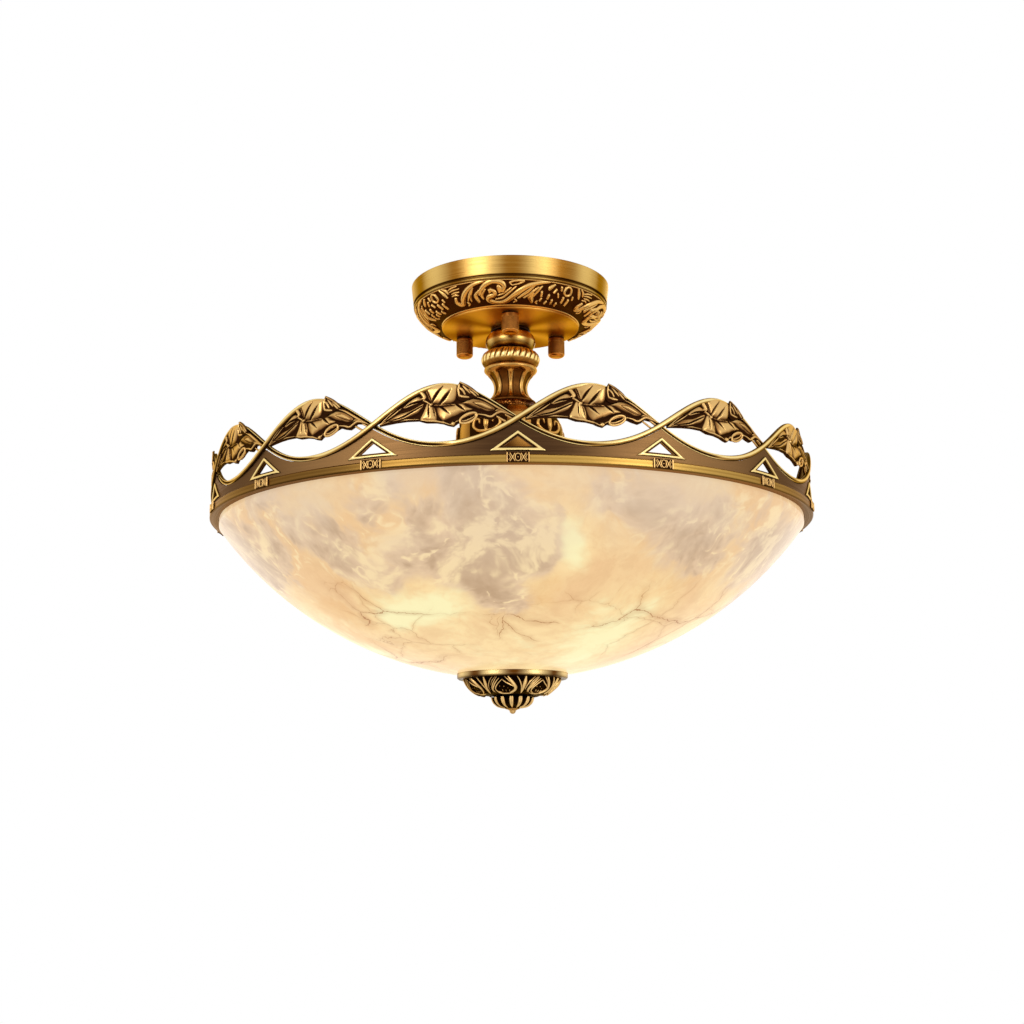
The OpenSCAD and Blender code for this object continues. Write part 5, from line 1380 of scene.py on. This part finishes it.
def spray_relief(u, z):
    """One spray, from the pieces that lie lowest to those on top: stems and calyx at the left, the two halves
    of the large leaf, the bow's skirt, the bud at the right and the curl under it."""
    def line(rows, half, height=0.9):
        return tapered(rows, half, height, 0.5, 1.5)

    relief = carve(u, z, [
        line([(-46, -2.2), (-38.8, 4.0), (-32.5, 9.0), (-26.2, 13.3), (-18.5, 17.4)], 1.0),
        line([(-45, -2.0), (-35.3, 4.2), (-29.4, 8.3)], 0.9),
        line([(-45, -2.2), (-36, 0.2), (-27, -0.2), (-17, -0.6)], 0.9, 0.75),
        line([(24.2, 13.2), (29.5, 10.9), (36.3, 6.6), (43.2, 2.6), (49, -0.6)], 0.9),
        line([(23, 1.4), (29.2, 0.3), (33.7, -0.8), (39.2, 2.2), (44.7, 1.2), (49, -0.6)], 1.2, 1.0),
        line([(33, 2.6), (38, 3.6), (44, 2.4)], 0.8, 0.8),
    ], 0.08)
    lay_blade(relief, u, z,
              [(-29.8, 8.3), (-24.8, 12.8), (-18.1, 16.0), (-13.4, 13.0), (-17.1, 11.0), (-25.6, 7.8)],
              [[(-26.4, 9.2, 0.3, 0.5), (-21.3, 11.2, 0.6, 0.7), (-14.6, 12.1, 0.4, 0.6)]], 0.95, 1.3)
    lay_blade(relief, u, z,
              [(-41.6, 0.2), (-33.9, 3.9), (-29.1, 5.2), (-22.8, 6.6), (-13.9, 10.8), (-13.8, 7.6),
               (-17.0, 3.4), (-25.0, 0.5), (-34.0, -0.9)],
              [[(-35.8, 0.5, 0.3, 0.5), (-28.4, 2.1, 0.5, 0.7), (-23.0, 4.6, 0.6, 0.7),
                (-14.8, 8.6, 0.4, 0.6)]],
              1.0, 1.4, tilt=(0.0, 0.05))
    lay_blade(relief, u, z,
              [(13.4, 9.4), (17.4, 11.6), (23.0, 12.2), (29.8, 10.0), (36.2, 6.0), (36.8, 3.4), (31.5, 2.2),
               (26.0, 4.0), (19.6, 6.4)],
              [], 0.85, 1.5)
    lay_blade(relief, u, z,
              [(20.4, 9.6), (26.6, 9.6), (32.0, 7.2), (35.0, 5.0), (33.8, 3.6), (29.6, 4.6), (24.2, 7.2)],
              [], 1.3, 1.7, 0.5, (0.0, 0.08))
    lay_blade(relief, u, z,
              [(11.6, -2.2), (13.0, -4.4), (17.4, -4.6), (22.6, -1.8), (25.0, 1.0), (22.8, 3.0), (17.6, 1.9)],
              [[(14.4, -2.4, 0.5, 0.7), (18.0, -1.2, 0.8, 0.8), (22.0, 0.6, 0.5, 0.7)]],
              0.7, 0.8)
    lay_blade(relief, u, z,
              [(-5.6, 7.6), (-4.6, 3.0), (-2.0, -1.2), (1.2, -3.6), (6.9, -1.6), (13.5, 1.2), (21.6, 4.4),
               (17.6, 6.9), (14.4, 9.2), (7.1, 8.9), (-0.1, 9.0)],
              [[(-3.4, 8.2, 0.2, 0.3), (0.8, 5.6, 0.7, 0.8), (5.0, 2.0, 0.2, 0.3)],
               [(9.6, 8.8, 0.6, 0.6), (12.9, 6.2, 0.8, 0.8), (15.6, 4.0, 0.3, 0.4)]],
              1.1, 1.9, 0.2, (0.03, -0.06))
    lay_blade(relief, u, z,
              [(-8.0, 9.6), (-10.9, 14.2), (-13.4, 19.4), (-11.6, 22.4), (-5.6, 23.8), (0.1, 24.2),
               (5.9, 23.6), (10.4, 22.0), (10.8, 16.8), (9.8, 11.6), (7.1, 8.6), (1.3, 8.0), (-3.7, 8.3)],
              [[(-7.4, 11.0, 0.3, 0.5), (-4.7, 15.6, 0.8, 0.9), (0.4, 22.2, 0.3, 0.4)],
               [(-2.6, 8.8, 0.3, 0.4), (1.4, 13.2, 0.9, 1.0), (6.2, 19.4, 0.3, 0.3)],
               [(-8.0, 11.8, 0.2, 0.2), (-9.6, 16.0, 0.4, 0.45), (-11.4, 20.4, 0.3, 0.3)]],
              1.2, 2.1, 0.2, (0.035, 0.02))
    lay_blade(relief, u, z,
              [(-11.2, 11.6), (-14.0, 4.8), (-16.2, -0.6), (-11.9, -3.0), (-4.2, -3.2), (-3.6, 1.4),
               (-5.8, 7.6), (-8.0, 9.4)],
              [[(-10.0, 8.8, 0.3, 0.6), (-9.8, 4.0, 0.6, 0.8), (-9.4, 0.6, 0.3, 0.5)],
               [(-7.0, 7.8, 0.2, 0.4), (-5.8, 3.0, 0.4, 0.6), (-5.4, 0.4, 0.2, 0.3)]],
              1.15, 1.5, 0.2)
    over = carve(u, z, [
        line([(-15.6, -1.2), (-10.3, -2.4), (-4.6, -2.9), (1.1, -4.2), (5.4, -5.8)], 1.0, 1.1),
        line([(-17.8, 19.0), (-15.4, 18.4), (-12.6, 14.4), (-14.6, 13.8)], 1.5, 1.25),
        line([(-14, 12.6), (-11.6, 11.6), (-8.4, 9.4)], 0.8, 1.2),
        line([(-8.4, 9.2), (-8.0, 9.2), (-7.6, 9.2)], 1.5, 1.35),
        line([(-6.6, 9.0), (-2.0, 8.4), (3.4, 8.6), (8.6, 8.6)], 0.5, 0.75),
        line([(7.2, -5.2), (7.4, -5.2), (7.6, -5.2)], 2.0, 1.2),
        line([(9.0, -4.0), (13.0, -2.0), (19.0, 1.4)], 0.7, 0.9),
    ], -9.0)
    return np.maximum(relief, over)


def add_sheet(shape, front, back, hollow):
    """A relief with a plain back: the back keeps only the rows' two ends, and the sheet is closed all
    round."""
    rows, columns = front.shape[:2]
    ends = np.stack([back[:, 0], back[:, -1]], 1)
    number = np.arange(rows * columns).reshape(rows, columns)
    foot = rows * columns + np.arange(rows * 2).reshape(rows, 2)
    top = np.stack([number[:-1, 0], foot[:-1, 0], foot[1:, 0], number[1:, 0]], -1)
    low = np.stack([number[:-1, -1], number[1:, -1], foot[1:, 1], foot[:-1, 1]], -1)
    rear = np.stack([foot[:-1, 0], foot[:-1, 1], foot[1:, 1], foot[1:, 0]], -1)
    points = np.concatenate([front.reshape(-1, 3), ends.reshape(-1, 3)])
    value = np.concatenate([np.asarray(hollow).reshape(-1), np.ones(2 * rows)])
    offset = shape.count
    shape.add(points, np.concatenate([grid_faces(rows, columns), top, low, rear]), hollow=value)
    left = np.concatenate([[foot[0, 1]], [foot[0, 0]], number[0]])[None, ::-1]
    right = np.concatenate([[foot[-1, 0]], [foot[-1, 1]], number[-1, ::-1]])[None, ::-1]
    shape.faces.append((left, offset))
    shape.faces.append((right, offset))


# Leaf cup: radius of its outline's curve and how far the curve's start leans out, points round, degrees that
# one leaf was drawn for, millimetres drawn for each of them, how far left of the front that leaf's eye is,
# the depth of its ground and height of its relief, and its inside radius
CUP_CURVE = 21.2
CUP_LEAN = 18
CUP_POINTS = 980
LEAF_PERIOD = 52
LEAF_SCALE = 0.58
LEAF_TURN = 12
CUP_GROUND, CUP_RELIEF = 1.5, 1.7
CUP_INSIDE_R = 5.4

# Knob: radius of its tip ball, points round, ribs, where they end along the outline and where the plain end
# starts, the depth of its ground and height of its ribs, and its inside radius
KNOB_BALL = 2.6
KNOB_POINTS = 840
KNOB_RIBS = 14
RIBS_END, PLAIN_START = 15, 17
KNOB_GROUND, KNOB_RELIEF = 1.2, 1.3
KNOB_INSIDE_R = 5.1


class CEILING_LIGHT_OT_finial(bpy.types.Operator):
    """Make the leaf cup and the ribbed knob and finish the disc over them"""
    bl_idname = "ceiling_light.finial"
    bl_label = "Finial"

    def execute(self, context):
        leaves = context.scene.ceiling_light_look.cup_leaves
        paint("cup", "cup_disc")
        low, high = box_mm("leaf_cup")
        lean = math.radians(CUP_LEAN)
        centre = (high[0] - CUP_CURVE * math.cos(lean), high[2] + CUP_CURVE * math.sin(lean))
        face = resample(arc_line(centre, CUP_CURVE, -CUP_LEAN, -90, 80), 66)
        s = run_along(face)
        theta = np.arange(CUP_POINTS) * 360 / CUP_POINTS
        period = 360 / leaves
        local = (np.mod(theta + LEAF_TURN + period / 2, period) - period / 2) / (period / LEAF_PERIOD)
        u, v = np.meshgrid(local * LEAF_SCALE, s, indexing="ij")
        relief = carve_round(u, v, palmette_strokes(), LEAF_PERIOD * LEAF_SCALE)
        relief = np.maximum(relief, 0.4 * rounded(s / 0.9))
        cup = Shape()
        # Patina on the ground and in the hollows, painted shade where the leaves face down or to the right
        cup.revolve(face, CUP_RELIEF * relief - CUP_GROUND, patina_and_shading_of(relief, 5, 1.2, 1.2, 1.0, True, 1.4, 1.1),
                    [(CUP_INSIDE_R, low[2]), (CUP_INSIDE_R, high[2])])
        cup.build("palmette_cup", "bowl", finish_of("leaf_cup"), ["leaf_cup"])
        self.knob()
        return {"FINISHED"}

    def knob(self):
        """Ribbed knob: lens-shaped ribs that run together at the tip, which ends in a small rounded cone."""
        low, high = box_mm("finial_knob")
        radius, top, tip = high[0], high[2], low[2] + KNOB_BALL
        body = smooth_line([
            (radius, top), (radius - 0.3, top - 2.6), (radius - 1.9, top - 5.4), (radius - 5.2, top - 7.8),
            (radius - 10, top - 9.0), (6.4, tip + 1.5), (4.2, tip + 0.9)], 12)
        face = resample(np.vstack([body, arc_line((0, tip), KNOB_BALL, 2, -88, 14)]), 76)
        s = run_along(face)
        theta = np.arange(KNOB_POINTS) * KNOB_RIBS / KNOB_POINTS
        x = np.abs(np.mod(theta[:, None] + 0.5, 1) - 0.5) * 2
        width = np.clip(0.54 * np.sin(np.pi * np.clip(s / 26.0 + 0.34, 0, 1)) ** 0.8, 0.02, 1)
        rib = rounded(x / width) * (s < RIBS_END)
        split = np.exp(-(x / 0.1) ** 2) * (s < 8) * 0.25
        relief = np.clip(rib - split, 0, 1)
        plain = s > PLAIN_START
        push = np.where(plain, 0, KNOB_RELIEF * relief - KNOB_GROUND)
        # The plain end keeps one tone; the ribs get patina on the ground and painted shade where they face
        # down or to the right
        hollow = np.where(plain, 0.3, patina_and_shading_of(relief, 3, 1.2, 1.0, 0.6, True, 1.4))
        first = np.zeros((KNOB_POINTS, 1))
        knob = Shape()
        knob.revolve(np.vstack([[(KNOB_INSIDE_R, top)], face]), np.hstack([first, push]),
                     np.hstack([first + 1, hollow]), turn=-3, closed=False)
        knob.build("ribbed_knob", "finial", finish_of("leaf_cup"), ["finial_knob"])


def palmette_strokes():
    """One leaf of the cup: a dark eye with beads under a pointed arch, a broad petal at its right and a
    stalk between the eyes. Angles from the front and depths down the cup give each stroke's line, followed
    by its width and height."""
    def at(rows, width, height=1.0):
        flat = (np.array(rows) + [LEAF_TURN, 0]) * [LEAF_SCALE, 1]
        return tapered(flat, 0.86 * width, height, 0.4, 2.0)
    return [
        at([(-12.5, 3.2), (-17, 6), (-21, 9), (-24, 12.5), (-22, 16.5), (-16, 18.5)], 0.9, 0.95),
        at([(-12.5, 3.2), (-8, 6), (-2, 8.6), (3, 10.6)], 0.75, 0.9),
        at([(-16, 2), (-20, 5), (-24.4, 9), (-28, 13), (-27, 17)], 1.0, 0.95),
        at([(-20, 0.5), (-25, 4), (-29, 8.6)], 0.7, 0.8),
        at([(-5, 0.6), (-2, 4), (2.2, 8.4), (4.6, 12), (3, 15.4), (-3, 18.4)], 1.9, 1.0),
        at([(-9.5, 0.4), (-6, 3), (-2.6, 6)], 0.7, 0.8),
        at([(5.6, 0.4), (9.5, 5), (12.4, 11), (13.4, 17.5)], 0.8, 0.9),
        at([(16.4, 0.4), (16.2, 6), (15, 12), (14, 18.4)], 1.9, 1.0),
        at([(28, 0.4), (23, 4.6), (19.4, 9.4), (18.2, 14)], 0.7, 0.85),
        at([(33.4, 0.6), (30, 4), (25.4, 8.6), (22.6, 13), (23.4, 17)], 0.9, 0.9),
        at([(-17.4, 10.2), (-17.2, 10.3), (-17, 10.4)], 0.75, 0.55),
        at([(-11.6, 10.4), (-11.4, 10.5), (-11.2, 10.6)], 0.75, 0.55),
        at([(-6.4, 12.4), (-6.2, 12.5), (-6, 12.6)], 0.6, 0.5),
        at([(-14.6, 14.2), (-14.4, 15), (-14, 17)], 0.6, 0.6),
        at([(-9.6, 14.8), (-9.4, 16), (-9, 18)], 0.6, 0.6),
        at([(-4, 14.6), (-4, 16), (-4.4, 17.6)], 0.6, 0.6),
        at([(-24, 18.6), (-16, 20.2), (-8, 20.4), (2, 19.4)], 0.8, 0.8),
    ]


# The photograph's camera: place in metres, tilt up and turn about its own axis in radians, lens and sensor in
# millimetres. Then the floor and its own light, and the point that the lights look at, with their names,
# places, sizes in metres and powers in watts
CAMERA_PLACE = (0.000437, -1.25, -0.438976)
CAMERA_TILT, CAMERA_TURN = 0.1913285, -0.00612753
CAMERA_LENS, CAMERA_SENSOR = 52.952, 36.0
FLOOR_R, FLOOR_LEVEL, FLOOR_SIDES = 2.6, -1.7, 64
FLOOR_GLOW = 0.34
LIGHTS_AIM = (0, 0, -0.2)
LIGHTS = (
    ("Soft key", (-1.5, -1.9, 0.35), 0.9, 9.0),
    ("Soft fill", (1.7, -1.7, 0.15), 0.9, 6.0),
    ("Soft back", (0.2, 2.0, 0.8), 1.2, 8.0),
    ("Soft under", (0.3, -0.9, -1.15), 1.0, 2.0),
)


def seen_share(t):
    """1 for rays that a camera, a shine or clear glass sends out, 0 for light that falls on the object."""
    path = t.add("ShaderNodeLightPath").outputs
    return t.most(path["Is Camera Ray"], t.most(path["Is Glossy Ray"], path["Is Transmission Ray"]))


def add_object(name, data):
    """A new object in the scene's own collection."""
    thing = bpy.data.objects.new(name, data)
    bpy.context.scene.collection.objects.link(thing)
    return thing


class CEILING_LIGHT_OT_stage(bpy.types.Operator):
    """Make the floor, the lights, the background and the camera"""
    bl_idname = "ceiling_light.stage"
    bl_label = "Stage"

    def execute(self, context):
        self.camera()
        self.floor()
        self.world()
        for light in LIGHTS:
            self.light(*light)
        return {"FINISHED"}

    def camera(self):
        """The photograph's view: in front, a little below the light and tilted up, turned slightly about its
        axis."""
        data = bpy.data.cameras.new("Camera")
        camera = add_object("Camera", data)
        data.sensor_width, data.lens = CAMERA_SENSOR, CAMERA_LENS
        data.clip_start, data.clip_end = 0.05, 60.0
        camera.matrix_world = (Matrix.Translation(CAMERA_PLACE)
                               @ Matrix.Rotation(math.pi / 2 + CAMERA_TILT, 4, "X")
                               @ Matrix.Rotation(CAMERA_TURN, 4, "Z"))
        bpy.context.scene.camera = camera

    def light(self, name, place, size, power):
        """A square soft light that looks at the aim."""
        data = bpy.data.lights.new(name, "AREA")
        data.size, data.energy, data.color = size, power, (1.0, 0.97, 0.93)
        way = np.array(LIGHTS_AIM, float) - place
        way /= np.linalg.norm(way)
        side = np.cross(way, (0, 0, 1.0))
        side /= np.linalg.norm(side)
        up = np.cross(side, way)
        turn = Matrix([[*side], [*up], [*(-way)]]).transposed().to_4x4()
        add_object(name, data).matrix_world = Matrix.Translation(place) @ turn

    def floor(self):
        """A round pale floor well under the light."""
        t = np.arange(FLOOR_SIDES) * 2 * np.pi / FLOOR_SIDES
        points = np.column_stack([FLOOR_R * np.cos(t), FLOOR_R * np.sin(t), 0 * t + FLOOR_LEVEL])
        mesh = bpy.data.meshes.new("Pale floor")
        mesh.from_pydata(points.tolist(), [], [list(range(FLOOR_SIDES))])
        floor = add_object("Pale floor", mesh)
        material, t, surface = new_material("Pale floor")
        pale = t.blend(t.noise(t.place(), 3.0, 3.0), (0.86, 0.86, 0.86, 1), (0.9, 0.9, 0.9, 1))
        set_surface(t, surface, Base_Color=pale, Roughness=0.9, Emission_Color=pale,
                    Emission_Strength=t.times(seen_share(t), FLOOR_GLOW))
        mesh.materials.append(material)

    def world(self):
        """White where the background is seen, soft warm light on the object."""
        world = bpy.data.worlds.new("Studio")
        bpy.context.scene.world = world
        world.use_nodes = True
        world.node_tree.nodes.clear()
        t = Tree(world.node_tree)
        seen = seen_share(t)
        soft = t.add("ShaderNodeBackground", {"Color": (1.0, 0.99, 0.97, 1), "Strength": 0.4})
        white = t.add("ShaderNodeBackground", {"Color": (1, 1, 1, 1), "Strength": 1.0})
        mix = t.add("ShaderNodeMixShader", {0: seen, 1: soft, 2: white})
        t.add("ShaderNodeOutputWorld", {"Surface": mix})
        bpy.context.scene.view_settings.view_transform = "Standard"


class CEILING_LIGHT_PT_panel(bpy.types.Panel):
    bl_label = "Ceiling light"
    bl_idname = "CEILING_LIGHT_PT_panel"
    bl_space_type = "VIEW_3D"
    bl_region_type = "UI"
    bl_category = "Ceiling light"

    def draw(self, context):
        look = context.scene.ceiling_light_look
        for name in CeilingLightLook.__annotations__:
            self.layout.prop(look, name)
        for operator in OPERATORS:
            self.layout.operator(operator.bl_idname)


OPERATORS = [CEILING_LIGHT_OT_stage, CEILING_LIGHT_OT_canopy, CEILING_LIGHT_OT_stem, CEILING_LIGHT_OT_lamps,
             CEILING_LIGHT_OT_bowl, CEILING_LIGHT_OT_crown, CEILING_LIGHT_OT_sprays, CEILING_LIGHT_OT_finial]
CLASSES = [CeilingLightLook, *OPERATORS, CEILING_LIGHT_PT_panel]


def register():
    for item in CLASSES:
        bpy.utils.register_class(item)
    bpy.types.Scene.ceiling_light_look = bpy.props.PointerProperty(type=CeilingLightLook)


def unregister():
    del bpy.types.Scene.ceiling_light_look
    for item in reversed(CLASSES):
        bpy.utils.unregister_class(item)


def main():
    register()
    for operator in OPERATORS:
        group, name = operator.bl_idname.split(".")
        getattr(getattr(bpy.ops, group), name)()


if __name__ == "__main__":
    main()
